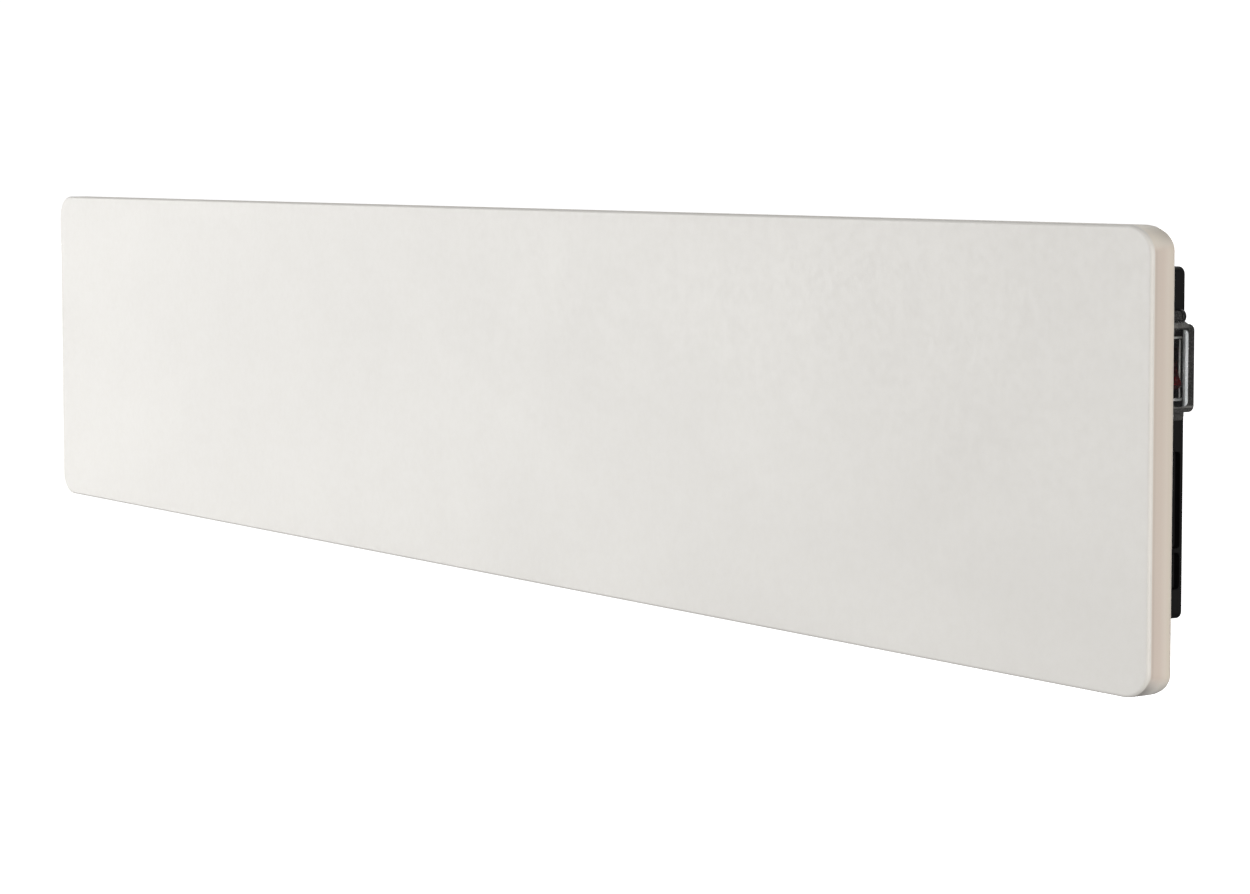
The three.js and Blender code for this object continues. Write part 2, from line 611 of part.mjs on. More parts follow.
// Clear flip lid, drawn about its hinge axis.
{
  const lid = new THREE.Group();
  lid.position.set(HINGE_P, 0, HZ);
  switchGroup.add(lid);
  const w = LID_HALF * 2;
  const h = LZ1 - LZ0;
  const e = 1.2;
  const shell = common(
    alongX(rounded(w - 2 * e, h - 2 * e, 4 - e, 0, LZC), -2, LID_OUT - e, {
      bevelEnabled: true, bevelThickness: e, bevelSize: e, bevelSegments: 3, curveSegments: 5,
    }),
    box(3.3, 20, -20, 20, -60, 60));
  const hollow = frameX(w - 2.8, h - 2.8, 2.6, -5, LID_OUT - 1.5, LZC);
  const tongue = alongY(polygon([
    [HINGE_P - 0.3, LZ1 - 1], [11, LZ1 - 1], [11.6, LZ1 - 0.4], [11.3, LZ1 + 0.2],
    [8.6, LZ1 + 1.5], [HINGE_P + 3, LZ1 + 2.2], [HINGE_P + 2.8, HZ], [HINGE_P - 0.3, HZ],
  ]), -5.2, 5.2);
  const knuckle = rodY(3, HINGE_P, HZ, -5.2, 5.2, 20);
  const g = cut(join(cut(shell, hollow), tongue, knuckle),
    rodY(1.15, HINGE_P, HZ, -12, 12, 12));
  g.translate(-HINGE_P, 0, -HZ);
  piece(lid, 'switch_lid', g, CLEAR);
}

export default heater;
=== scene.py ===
import math

import bmesh
import bpy
from mathutils import Matrix, Vector


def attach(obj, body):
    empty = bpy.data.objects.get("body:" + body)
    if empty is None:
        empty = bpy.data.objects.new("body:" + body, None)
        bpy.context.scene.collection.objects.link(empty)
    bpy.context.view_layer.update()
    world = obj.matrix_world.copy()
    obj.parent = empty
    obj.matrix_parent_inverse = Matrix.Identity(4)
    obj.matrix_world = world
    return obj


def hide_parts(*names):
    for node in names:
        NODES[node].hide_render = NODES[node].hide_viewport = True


# A wall-hung infrared panel heater: pale slab, black steel housing, rocker
# switch under a clear flip lid. Metres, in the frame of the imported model:
# +X right, +Y into the wall, +Z up, the wall at Y = 0.

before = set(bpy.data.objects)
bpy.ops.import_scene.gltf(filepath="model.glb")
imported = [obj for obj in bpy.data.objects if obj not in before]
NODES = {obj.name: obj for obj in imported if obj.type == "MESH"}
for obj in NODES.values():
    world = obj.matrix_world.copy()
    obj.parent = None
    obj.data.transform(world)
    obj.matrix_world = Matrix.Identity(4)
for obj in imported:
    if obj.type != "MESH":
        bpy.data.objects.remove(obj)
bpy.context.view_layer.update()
MM = 0.001
scene = bpy.context.scene

# ------------------------------------------------------------------ dimensions
SLAB_W, SLAB_H, SLAB_RX, SLAB_RZ = 1400.0, 250.0, 23.0, 13.0
Y_SF, Y_SB, Y_HB = -54.0, -37.0, -12.0
HX, HZ0, HZ1 = 679.2, -86.0, 102.5
SW_Y, SW_Z = -25.5, 48.5
LID_Z0, LID_Z1, LID_HALF, LID_OUT = 25.8, 72.6, 9.75, 12.2
HINGE_P, HINGE_Z = 3.6, 76.4
RIM_Y, RIM_Z = 4.4, 3.0
ROCKER_P, ROCKER_TILT = -2.5, 12.0
ROCKER_HALF, ROCKER_TOP = 10.0, 5.2
BASE_Z0, BASE_Z1, BASE_SCREW_Z = 20.9, 72.9, 23.2
GLAND_X, GLAND_Y = 600.0, -26.0
POSTS = [(x, z) for x in (-640.0, 0.0, 640.0) for z in (-69.0, 86.0)]


# ---------------------------------------------------------------------- meshes
def mesh_object(name, bm, smooth=35.0, weighted=True):
    """bm, drawn in millimetres, becomes an object in metres."""
    bmesh.ops.remove_doubles(bm, verts=bm.verts, dist=1e-5)
    bmesh.ops.recalc_face_normals(bm, faces=bm.faces)
    bmesh.ops.scale(bm, vec=(MM, MM, MM), verts=bm.verts)
    me = bpy.data.meshes.new(name)
    bm.to_mesh(me)
    bm.free()
    ob = bpy.data.objects.new(name, me)
    scene.collection.objects.link(ob)
    finish_shading(ob, smooth, weighted)
    return ob


def finish_shading(ob, smooth=35.0, weighted=True):
    me = ob.data
    me.polygons.foreach_set("use_smooth", [True] * len(me.polygons))
    me.set_sharp_from_angle(angle=math.radians(smooth))
    if weighted:
        m = ob.modifiers.new("weighted", "WEIGHTED_NORMAL")
        m.keep_sharp = True
        m.weight = 80


def add_ring(bm, points):
    return [bm.verts.new(p) for p in points]


def bridge(bm, a, b):
    n = len(a)
    for i in range(n):
        j = (i + 1) % n
        bm.faces.new((a[i], a[j], b[j], b[i]))


def loft(bm, rings, cap=(True, True), close=False):
    """Bridges rings of points; cap closes the first and last ring."""
    made = [add_ring(bm, r) for r in rings]
    for a, b in zip(made, made[1:]):
        bridge(bm, a, b)
    if close:
        bridge(bm, made[-1], made[0])
    else:
        if cap[0]:
            bm.faces.new(made[0])
        if cap[1]:
            bm.faces.new(made[-1])
    return made


def rrect(w, h, r, n=8, cu=0.0, cv=0.0):
    """Points of a rounded rectangle, counter-clockwise."""
    r = max(r, 0.02)
    out = []
    for k, (su, sv) in enumerate(((1, -1), (1, 1), (-1, 1), (-1, -1))):
        mu, mv = cu + su * (w / 2 - r), cv + sv * (h / 2 - r)
        a0 = -90 + 90 * k
        for i in range(n + 1):
            a = math.radians(a0 + 90.0 * i / n)
            out.append((mu + r * math.cos(a), mv + r * math.sin(a)))
    return out


def oval(w, h, ru, rv, n=12):
    """Points of a rectangle with elliptical corners, counter-clockwise."""
    out = []
    for k, (su, sv) in enumerate(((1, -1), (1, 1), (-1, 1), (-1, -1))):
        mu, mv = su * (w / 2 - ru), sv * (h / 2 - rv)
        for i in range(n + 1):
            a = math.radians(-90 + 90 * k + 90.0 * i / n)
            out.append((mu + ru * math.cos(a), mv + rv * math.sin(a)))
    return out


def arc(cx, cy, r, a0, a1, n):
    out = []
    for i in range(n + 1):
        a = math.radians(a0 + (a1 - a0) * i / n)
        out.append((cx + r * math.cos(a), cy + r * math.sin(a)))
    return out


def on_y(points, y):
    return [Vector((u, y, v)) for u, v in points]


def on_x(points, x):
    return [Vector((x, u, v)) for u, v in points]


def on_z(points, z):
    return [Vector((u, v, z)) for u, v in points]


def turned(profile, n=32, star=None):
    """Rings about local +Z; profile is (radius, height, key), and star(key, angle)
    changes the radius round the ring. The rings come back as points; the caller bridges them and closes the ends."""
    bm = bmesh.new()
    rings = []
    for row in profile:
        r, z = row[0], row[1]
        key = row[2] if len(row) > 2 else None
        pts = []
        for i in range(n):
            a = 2 * math.pi * i / n
            q = r if star is None or key is None else star(key, a, r)
            pts.append(Vector((q * math.cos(a), q * math.sin(a), z)))
        rings.append(pts)
    return bm, rings


def prism(points, lo, hi, plane):
    """Plain prism of a 2-D outline, used as a cutter or a base."""
    bm = bmesh.new()
    loft(bm, [plane(points, lo), plane(points, hi)])
    return bm


def circle(r, n=32, cu=0.0, cv=0.0, a0=0.0):
    return [(cu + r * math.cos(2 * math.pi * i / n + a0),
             cv + r * math.sin(2 * math.pi * i / n + a0)) for i in range(n)]


def raw(name, bm):
    return mesh_object(name, bm, weighted=False)


def combine(ob, others, how="DIFFERENCE"):
    """Boolean with each of the others, which are used up."""
    for c in others:
        m = ob.modifiers.new("bool", "BOOLEAN")
        m.operation = how
        m.object = c
        m.solver = "EXACT"
    bpy.context.view_layer.update()
    dg = bpy.context.evaluated_depsgraph_get()
    me = bpy.data.meshes.new_from_object(ob.evaluated_get(dg))
    ob.modifiers.clear()
    old = ob.data
    me.name = ob.name
    ob.data = me
    bpy.data.meshes.remove(old)
    for c in others:
        data = c.data
        bpy.data.objects.remove(c)
        bpy.data.meshes.remove(data)
    return ob


def tidy(ob, angle=2.0):
    """Merges coplanar faces that the cuts left."""
    bm = bmesh.new()
    bm.from_mesh(ob.data)
    bmesh.ops.remove_doubles(bm, verts=bm.verts, dist=2e-6)
    bmesh.ops.dissolve_limit(bm, angle_limit=math.radians(angle), verts=bm.verts,
                             edges=bm.edges, delimit={"NORMAL"})
    bm.to_mesh(ob.data)
    bm.free()
    return ob


def soften(ob, width, segments=2, angle=40.0, smooth=50.0):
    """A small rounding on the sharp edges."""
    b = ob.modifiers.new("edge", "BEVEL")
    b.width = width * MM
    b.segments = segments
    b.limit_method = "ANGLE"
    b.angle_limit = math.radians(angle)
    b.use_clamp_overlap = True
    b.harden_normals = False
    b.miter_outer = "MITER_ARC"
    finish_shading(ob, smooth, True)
    return ob


# ------------------------------------------------------------------- materials
class Mat:
    """A node material with short ways to add what a surface needs."""

    def __init__(self, name, color=(0.5, 0.5, 0.5), rough=0.5, metal=0.0, spec=0.5):
        self.m = bpy.data.materials.new(name)
        self.m.use_nodes = True
        self.t = self.m.node_tree
        self.b = self.t.nodes["Principled BSDF"]
        self.set("Base Color", (*color, 1.0))
        self.set("Roughness", rough)
        self.set("Metallic", metal)
        self.set("Specular IOR Level", spec)
        self.coords = self.t.nodes.new("ShaderNodeTexCoord").outputs["Object"]

    def set(self, name, value):
        self.b.inputs[name].default_value = value
        return self

    def link(self, a, b):
        self.t.links.new(a, b)

    def mapped(self, scale=(1, 1, 1), rot=(0, 0, 0)):
        n = self.t.nodes.new("ShaderNodeMapping")
        n.inputs["Scale"].default_value = scale
        n.inputs["Rotation"].default_value = rot
        self.link(self.coords, n.inputs["Vector"])
        return n.outputs["Vector"]

    def noise(self, scale, detail=3.0, rough=0.5, stretch=(1, 1, 1), distort=0.0):
        n = self.t.nodes.new("ShaderNodeTexNoise")
        n.inputs["Scale"].default_value = scale
        n.inputs["Detail"].default_value = detail
        n.inputs["Roughness"].default_value = rough
        n.inputs["Distortion"].default_value = distort
        self.link(self.mapped(stretch), n.inputs["Vector"])
        return n.outputs["Fac"]

    def cells(self, scale, stretch=(1, 1, 1), feature="F1", out="Distance"):
        n = self.t.nodes.new("ShaderNodeTexVoronoi")
        n.feature = feature
        n.inputs["Scale"].default_value = scale
        self.link(self.mapped(stretch), n.inputs["Vector"])
        return n.outputs[out]

    def ramp(self, fac, stops, ease="LINEAR"):
        n = self.t.nodes.new("ShaderNodeValToRGB")
        n.color_ramp.interpolation = ease
        e = n.color_ramp.elements
        while len(e) < len(stops):
            e.new(0.5)
        for el, (pos, c) in zip(e, stops):
            el.position = pos
            el.color = (*c, 1.0) if len(c) == 3 else c
        self.link(fac, n.inputs["Fac"])
        return n.outputs["Color"]

    def grey(self, fac, lo, hi, flo=0.0, fhi=1.0):
        n = self.t.nodes.new("ShaderNodeMapRange")
        n.inputs["From Min"].default_value = flo
        n.inputs["From Max"].default_value = fhi
        n.inputs["To Min"].default_value = lo
        n.inputs["To Max"].default_value = hi
        self.link(fac, n.inputs["Value"])
        return n.outputs["Result"]

    def mix(self, fac, a, b, how="MIX"):
        n = self.t.nodes.new("ShaderNodeMix")
        n.data_type = "RGBA"
        n.blend_type = how
        n.clamp_factor = True
        for sock, v in (("Factor", fac), ("A", a), ("B", b)):
            s = [i for i in n.inputs if i.name == sock and
                 i.type == ("VALUE" if sock == "Factor" else "RGBA")][0]
            if hasattr(v, "links") or hasattr(v, "is_linked"):
                self.link(v, s)
            elif sock == "Factor":
                s.default_value = v
            else:
                s.default_value = (*v, 1.0) if len(v) == 3 else v
        return [o for o in n.outputs if o.type == "RGBA"][0]

    def math(self, op, a, b=None):
        n = self.t.nodes.new("ShaderNodeMath")
        n.operation = op
        for i, v in enumerate((a, b)):
            if v is None:
                continue
            if hasattr(v, "is_linked"):
                self.link(v, n.inputs[i])
            else:
                n.inputs[i].default_value = v
        return n.outputs[0]

    def axis(self, which):
        n = self.t.nodes.new("ShaderNodeSeparateXYZ")
        self.link(self.coords, n.inputs[0])
        return n.outputs[which]

    def color(self, socket):
        self.link(socket, self.b.inputs["Base Color"])
        return self

    def rough(self, socket):
        self.link(socket, self.b.inputs["Roughness"])
        return self

    def bump(self, heights, distance=0.0001, strength=1.0):
        """heights: list of (socket, metres of relief)."""
        normal = None
        for socket, depth in heights:
            n = self.t.nodes.new("ShaderNodeBump")
            n.inputs["Strength"].default_value = strength
            n.inputs["Distance"].default_value = depth
            self.link(socket, n.inputs["Height"])
            if normal is not None:
                self.link(normal, n.inputs["Normal"])
            normal = n.outputs["Normal"]
        self.link(normal, self.b.inputs["Normal"])
        return self


def slab_material():
    m = Mat("slab_glaze", rough=0.4, spec=0.5)
    cloud = m.noise(4.2, 2.0, 0.55, (1.0, 1.0, 1.6), 0.4)
    fine = m.noise(230.0, 3.0, 0.6)
    speck = m.noise(1500.0, 2.0, 0.7)
    face = m.ramp(cloud, [(0.30, (0.803, 0.784, 0.746)), (0.70, (0.846, 0.828, 0.788))])
    y = m.axis(1)
    # painted light and shade on the side: a darker line behind the face, lighter towards the back, darker again at the
    # soft back edge; the side's warmer, darker tone stands in for the dimmer, warmer light on that side
    side = m.ramp(m.grey(y, 0.0, 1.0, -0.0530, -0.0370),
                  [(0.10, (0.66, 0.58, 0.522)), (0.16, (0.570, 0.497, 0.445)), (0.23, (0.655, 0.565, 0.507)),
                   (0.45, (0.687, 0.597, 0.534)), (0.66, (0.750, 0.680, 0.610)), (0.80, (0.735, 0.672, 0.585)),
                   (0.95, (0.650, 0.604, 0.535))])
    body = m.mix(m.grey(cloud, 0.0, 0.5, 0.30, 0.70), side, (0.75, 0.681, 0.597))
    # painted light: faces that turn up or down lose the side's warm tone and are plainer grey
    tc = m.t.nodes.new("ShaderNodeTexCoord")
    n = m.t.nodes.new("ShaderNodeSeparateXYZ")
    m.link(tc.outputs["Normal"], n.inputs[0])
    flat = m.grey(m.math("ABSOLUTE", n.outputs[2]), 0.0, 1.0, 0.25, 0.85)
    above = m.grey(n.outputs[2], 0.0, 1.0, 0.15, 0.70)
    below = m.grey(n.outputs[2], 1.0, 0.0, -0.80, -0.35)
    body = m.mix(flat, body, (0.85, 0.83, 0.79))
    # painted shade: the top of the slab darkens towards the back
    body = m.mix(above, body, m.ramp(m.grey(y, 0.0, 1.0, -0.0515, -0.0375),
                                     [(0.15, (0.85, 0.80, 0.71)), (0.90, (0.61, 0.57, 0.51))]))
    # painted shade: a dark wedge in the lower corner, next to the face
    shade = m.math("MULTIPLY", below, m.grey(y, 1.0, 0.0, -0.0508, -0.0450))
    body = m.mix(m.math("MULTIPLY", shade, m.grey(n.outputs[2], 0.0, 1.0, -0.998, -0.93)), body, (0.50, 0.475, 0.45))
    # painted shade: the back part of the lower corner is darker
    far_corner_shade = m.math("MULTIPLY", below, m.grey(y, 0.0, 1.0, -0.0430, -0.0385))
    body = m.mix(far_corner_shade, body, (0.60, 0.575, 0.53))
    depth = m.grey(m.math("ADD", y, m.math("MULTIPLY", below, 0.0011)), 0.0, 1.0, -0.0518, -0.0512)
    base = m.mix(depth, face, body)
    base = m.mix(m.grey(fine, 0.0, 0.10, 0.35, 0.75), base, (0.69, 0.65, 0.59))
    base = m.mix(m.grey(speck, 0.0, 0.16, 0.60, 0.74), base, (0.52, 0.48, 0.42))
    # painted light: a little paler towards the lower edge, where more light falls
    z = m.grey(m.axis(2), 0.0, 1.0, -0.125, 0.030)
    base = m.mix(1.0, base, m.ramp(z, [(0.0, (1.0, 1.0, 1.0)), (1.0, (0.946, 0.946, 0.946))]), "MULTIPLY")
    m.color(base)
    lip = m.math("MULTIPLY", m.grey(y, 0.0, 1.0, -0.05398, -0.05375), m.grey(y, 1.0, 0.0, -0.0525, -0.0518))
    wear = m.math("ADD", m.grey(fine, 0.35, 0.44, 0.3, 0.7), m.grey(depth, 0.0, 0.14))
    m.rough(m.math("ADD", wear, m.grey(lip, 0.0, 0.22)))
    m.bump([(m.noise(5.5, 1.0, 0.4, (1.0, 1.0, 1.4)), 0.0006),
            (fine, 0.000025), (speck, 0.000012)])
    return m.m


def black_paint_material():
    m = Mat("black_powder_coat", rough=0.55, spec=0.20)
    orange = m.noise(620.0, 3.0, 0.6)
    grain = m.cells(1500.0)
    tint = m.noise(9.0, 2.0)
    base = m.ramp(tint, [(0.3, (0.0034, 0.0035, 0.0037)), (0.7, (0.0052, 0.0052, 0.0055))])
    base = m.mix(m.grey(orange, 0.0, 0.35, 0.50, 0.72), base, (0.0105, 0.0105, 0.0110))
    m.color(base)
    m.rough(m.grey(orange, 0.46, 0.66, 0.3, 0.7))
    m.bump([(orange, 0.00010), (grain, 0.00004)])
    return m.m


def zinc_material():
    m = Mat("zinc_plate", metal=1.0, rough=0.34, spec=0.5)
    spangle = m.cells(95.0, out="Color")
    drawn = m.noise(160.0, 4.0, 0.65, (0.06, 1.0, 1.0))
    stain = m.noise(14.0, 4.0, 0.6)
    n = m.t.nodes.new("ShaderNodeRGBToBW")
    m.link(spangle, n.inputs[0])
    tone = n.outputs[0]
    base = m.ramp(tone, [(0.15, (0.50, 0.515, 0.53)), (0.85, (0.63, 0.64, 0.65))])
    base = m.mix(m.grey(drawn, 0.0, 0.35, 0.35, 0.7), base, (0.42, 0.43, 0.44))
    base = m.mix(m.grey(stain, 0.0, 0.22, 0.55, 0.8), base, (0.40, 0.39, 0.36))
    m.color(base)
    m.rough(m.math("ADD", m.grey(tone, 0.24, 0.38), m.grey(drawn, 0.0, 0.12, 0.3, 0.7)))
    m.bump([(drawn, 0.00003), (tone, 0.00001)])
    return m.m


def screw_material(name, color, rough, spec=0.5, metal=1.0):
    m = Mat(name, metal=metal, rough=rough, spec=spec)
    fine = m.noise(900.0, 3.0, 0.6)
    blot = m.noise(220.0, 3.0, 0.6)
    lo = tuple(c * 0.78 for c in color)
    base = m.ramp(blot, [(0.3, lo), (0.7, color)])
    m.color(base)
    m.rough(m.grey(fine, rough - 0.08, rough + 0.10, 0.3, 0.7))
    m.bump([(fine, 0.000015)])
    return m.m


def plastic_material(name, color, rough=0.45, spec=0.4, grain=1300.0, relief=0.00003, vary=0.2):
    m = Mat(name, rough=rough, spec=spec)
    spark = m.noise(grain, 2.0, 0.6)
    flow = m.noise(45.0, 3.0, 0.5)
    lo = tuple(c * (1 - vary) for c in color)
    hi = tuple(min(1.0, c * (1 + vary)) for c in color)
    m.color(m.ramp(flow, [(0.3, lo), (0.7, hi)]))
    m.rough(m.grey(spark, rough - 0.06, rough + 0.08, 0.3, 0.7))
    m.bump([(spark, relief)])
    return m.m


def rubber_material():
    m = Mat("black_rubber", rough=0.82, spec=0.25)
    fine = m.noise(700.0, 4.0, 0.7)
    dust = m.noise(60.0, 4.0, 0.65)
    base = m.ramp(dust, [(0.35, (0.010, 0.010, 0.010)), (0.75, (0.024, 0.023, 0.022))])
    m.color(base)
    m.rough(m.grey(fine, 0.74, 0.9, 0.3, 0.7))
    m.bump([(fine, 0.00006)])
    return m.m


def clear_material():
    m = Mat("clear_lid", color=(0.92, 0.94, 0.94), rough=0.06, spec=0.5)
    m.set("Transmission Weight", 1.0)
    m.set("IOR", 1.49)
    flow = m.noise(60.0, 2.0, 0.5)
    haze = m.noise(900.0, 2.0, 0.6)
    m.color(m.ramp(flow, [(0.3, (0.74, 0.755, 0.755)), (0.7, (0.81, 0.82, 0.82))]))
    m.rough(m.grey(haze, 0.03, 0.10, 0.35, 0.7))
    m.bump([(flow, 0.00004)])
    return m.m


def frosted_material():
    """Roughened foot of the clear lid's walls."""
    m = Mat("frosted_lid", color=(0.5, 0.5, 0.5), rough=0.5, spec=0.5)
    m.set("Transmission Weight", 0.75)
    m.set("IOR", 1.49)
    grit = m.noise(1400.0, 3.0, 0.7)
    m.color(m.ramp(grit, [(0.35, (0.16, 0.16, 0.16)), (0.7, (0.55, 0.555, 0.555))]))
    m.rough(m.grey(grit, 0.35, 0.65, 0.35, 0.7))
    m.bump([(grit, 0.00008)])
    return m.m


def smoke_material(name="smoke_plastic", tone=0.030, rough=0.3):
    m = Mat(name, rough=rough, spec=0.5)
    flow = m.noise(160.0, 3.0, 0.6)
    fine = m.noise(1200.0, 2.0, 0.6)
    base = m.ramp(flow, [(0.3, (tone * 0.6,) * 3), (0.75, (tone * 1.5, tone * 1.5, tone * 1.45))])
    # the hinge lugs at the top are darker, and their stronger mottling is a painted reflection of the knuckles
    lug = m.grey(m.axis(2), 0.0, 1.0, 0.0715, 0.0735)
    dark = m.ramp(flow, [(0.35, (tone * 0.12,) * 3), (0.65, (tone * 0.55,) * 3)])
    m.color(m.mix(lug, base, dark))
    m.rough(m.grey(fine, rough - 0.08, rough + 0.12, 0.3, 0.7))
    m.bump([(fine, 0.00002), (flow, 0.00006)])
    return m.m


def rim_material():
    """Smoked plastic of the lid's rim, with painted highlights: paler along its top, its foot and the step at the
    window's lower edge.
    """
    m = Mat("lid_rim", rough=0.22, spec=0.5)
    flow = m.noise(160.0, 3.0, 0.6)
    fine = m.noise(1200.0, 2.0, 0.6)
    base = m.ramp(flow, [(0.3, (0.022, 0.022, 0.022)), (0.75, (0.048, 0.048, 0.047))])
    # painted highlight along the rim's top edge
    top = m.math("MULTIPLY", m.grey(m.axis(2), 0.0, 1.0, 0.0702, 0.0710),
                 m.grey(m.axis(1), 1.0, 0.0, -0.0208, -0.0192))
    top = m.math("MULTIPLY", top, m.grey(m.axis(2), 1.0, 0.0, 0.0726, 0.0738))
    # painted highlight along the rim's foot
    foot = m.grey(m.axis(2), 1.0, 0.0, 0.0272, 0.0284)
    base = m.mix(top, base, m.ramp(flow, [(0.3, (0.085, 0.085, 0.083)), (0.75, (0.16, 0.16, 0.155))]))
    base = m.mix(foot, base, m.ramp(flow, [(0.3, (0.045, 0.045, 0.045)), (0.75, (0.075, 0.075, 0.073))]))
    # painted highlight on the step at the window's lower edge
    step_highlight = m.math("MULTIPLY", m.grey(m.axis(2), 0.0, 1.0, 0.0280, 0.0283),
                  m.grey(m.axis(2), 1.0, 0.0, 0.0291, 0.0294))
    base = m.mix(step_highlight, base, m.ramp(flow, [(0.3, (0.10, 0.10, 0.098)), (0.75, (0.18, 0.18, 0.176))]))
    m.color(base)
    m.rough(m.grey(fine, 0.16, 0.34, 0.3, 0.7))
    m.bump([(fine, 0.00002), (flow, 0.00006)])
    return m.m


def rocker_material():
    """Moulded dark red, with painted shade: deeper on the half that is pressed in."""
    m = Mat("red_rocker", rough=0.22, spec=0.5)
    spark = m.noise(900.0, 2.0, 0.6)
    flow = m.noise(45.0, 3.0, 0.5)
    red = m.ramp(flow, [(0.3, (0.078, 0.0032, 0.004)), (0.7, (0.102, 0.0045, 0.0055))])
    pressed_half_shade = m.ramp(flow, [(0.3, (0.030, 0.0030, 0.0035)), (0.7, (0.040, 0.0040, 0.0045))])
    # painted shade on the upper, pressed-in half
    m.color(m.mix(m.grey(m.axis(2), 0.0, 1.0, 0.0478, 0.0496), red, pressed_half_shade))
    m.rough(m.grey(spark, 0.16, 0.30, 0.3, 0.7))
    m.bump([(spark, 0.00001)])
    return m.m


def wool_material():
    m = Mat("mineral_wool", rough=0.95, spec=0.1)
    strand = m.noise(420.0, 6.0, 0.75, (0.25, 1.0, 1.0), 1.2)
    tuft = m.noise(38.0, 4.0, 0.6)
    base = m.ramp(strand, [(0.3, (0.52, 0.46, 0.32)), (0.7, (0.80, 0.75, 0.58))])
    m.color(m.mix(m.grey(tuft, 0.0, 0.35, 0.4, 0.7), base, (0.45, 0.40, 0.28)))
    m.bump([(strand, 0.0006)])
    return m.m


def woven_material():
    m = Mat("glass_weave", rough=0.6, spec=0.3)
    wave = []
    for stretch in ((1, 0, 0), (0, 0, 1)):
        n = m.t.nodes.new("ShaderNodeTexWave")
        n.inputs["Scale"].default_value = 260.0
        n.inputs["Distortion"].default_value = 0.6
        n.bands_direction = "X" if stretch[0] else "Z"
        m.link(m.mapped((1, 1, 1)), n.inputs["Vector"])
        wave.append(n.outputs["Fac"])
    cross = m.math("MULTIPLY", wave[0], wave[1])
    m.color(m.ramp(cross, [(0.1, (0.38, 0.25, 0.09)), (0.8, (0.66, 0.48, 0.20))]))
    m.bump([(cross, 0.0002)])
    return m.m


def board_material():
    m = Mat("circuit_board", rough=0.35, spec=0.5)
    tracks = m.cells(300.0, (1.0, 1.0, 0.35), out="Color")
    n = m.t.nodes.new("ShaderNodeRGBToBW")
    m.link(tracks, n.inputs[0])
    base = m.ramp(n.outputs[0], [(0.45, (0.010, 0.095, 0.035)), (0.55, (0.022, 0.17, 0.06))], "CONSTANT")
    m.color(base)
    m.rough(m.grey(m.noise(700.0), 0.28, 0.42))
    m.bump([(n.outputs[0], 0.00004)])
    return m.m


SLAB = slab_material()
BLACK = black_paint_material()
ZINC = zinc_material()
SCREW = screw_material("screw_zinc", (0.60, 0.60, 0.61), 0.30)
DARK_SCREW = screw_material("screw_black", (0.055, 0.055, 0.058), 0.36)
BRASS = screw_material("brass", (0.72, 0.50, 0.20), 0.28)
ETCHED = screw_material("etched_alloy", (0.42, 0.28, 0.18), 0.42)
FOIL = screw_material("bright_foil", (0.86, 0.86, 0.87), 0.20)
BLACK_PLASTIC = plastic_material("black_plastic", (0.0085, 0.0085, 0.009), 0.42, 0.4)
# pale plastic put on the bezel's edges and lip as painted highlight lines
BEZEL_HIGHLIGHT = plastic_material("bezel_painted_highlight", (0.86, 0.86, 0.85), 0.25, 0.5, 900.0, 0.00001, 0.06)
RED = rocker_material()
SMOKE = smoke_material(tone=0.046)
LID_RIM = rim_material()
CLEAR = clear_material()
FROSTED = frosted_material()
RUBBER = rubber_material()
WOOL = wool_material()
WEAVE = woven_material()
BOARD = board_material()
CERAMIC = plastic_material("white_ceramic", (0.74, 0.70, 0.60), 0.5, 0.4, 800.0, 0.00005, 0.05)
BLUE_CASE = plastic_material("blue_case", (0.022, 0.095, 0.32), 0.35, 0.5)
SLEEVE = plastic_material("capacitor_sleeve", (0.010, 0.012, 0.035), 0.25, 0.5)
WIRE_BROWN = plastic_material("wire_brown", (0.095, 0.032, 0.014), 0.4, 0.4)
WIRE_BLUE = plastic_material("wire_blue", (0.018, 0.075, 0.33), 0.4, 0.4)
WIRE_GREEN = plastic_material("wire_green", (0.09, 0.28, 0.03), 0.4, 0.4)
WIRE_WHITE = plastic_material("wire_white", (0.72, 0.70, 0.64), 0.5, 0.3)


def paint(ob, *mats):
    ob.data.materials.clear()
    for m in mats:
        ob.data.materials.append(m)
    return ob


def stand_for(ob, body, slot, *cad):
    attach(ob, body)
    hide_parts(*cad)
    return ob


# ------------------------------------------------------------------------ slab
def edge_profile(front, back, rf, rb, n=8, inner=4.0):
    """(y, inset) from the front face's middle round to the back face's."""
    out = [(front, rf + inner)]
    for i in range(n + 1):
        a = math.radians(90.0 * i / n)
        out.append((front + rf - rf * math.cos(a), rf - rf * math.sin(a)))
    for i in range(n + 1):
        a = math.radians(90.0 * i / n)
        out.append((back - rb + rb * math.sin(a), rb - rb * math.cos(a)))
    out.append((back, rb + inner))
    return out


def make_slab():
    bm = bmesh.new()
    rings = []
    for y, inset in edge_profile(Y_SF, Y_SB, 1.75, 2.3):
        # the corner is rounder at the face than at the back
        t = (Y_SB - y) / (Y_SB - Y_SF)
        ru, rv = SLAB_RX - 3.0 * t - inset, SLAB_RZ + 3.0 * t - inset
        rings.append(on_y(oval(SLAB_W - 2 * inset, SLAB_H - 2 * inset, ru, rv, 20), y))
    loft(bm, rings)
    ob = mesh_object("slab", bm, smooth=40.0)
    paint(ob, SLAB)
    stand_for(ob, "heater", "slab", "front_slab")


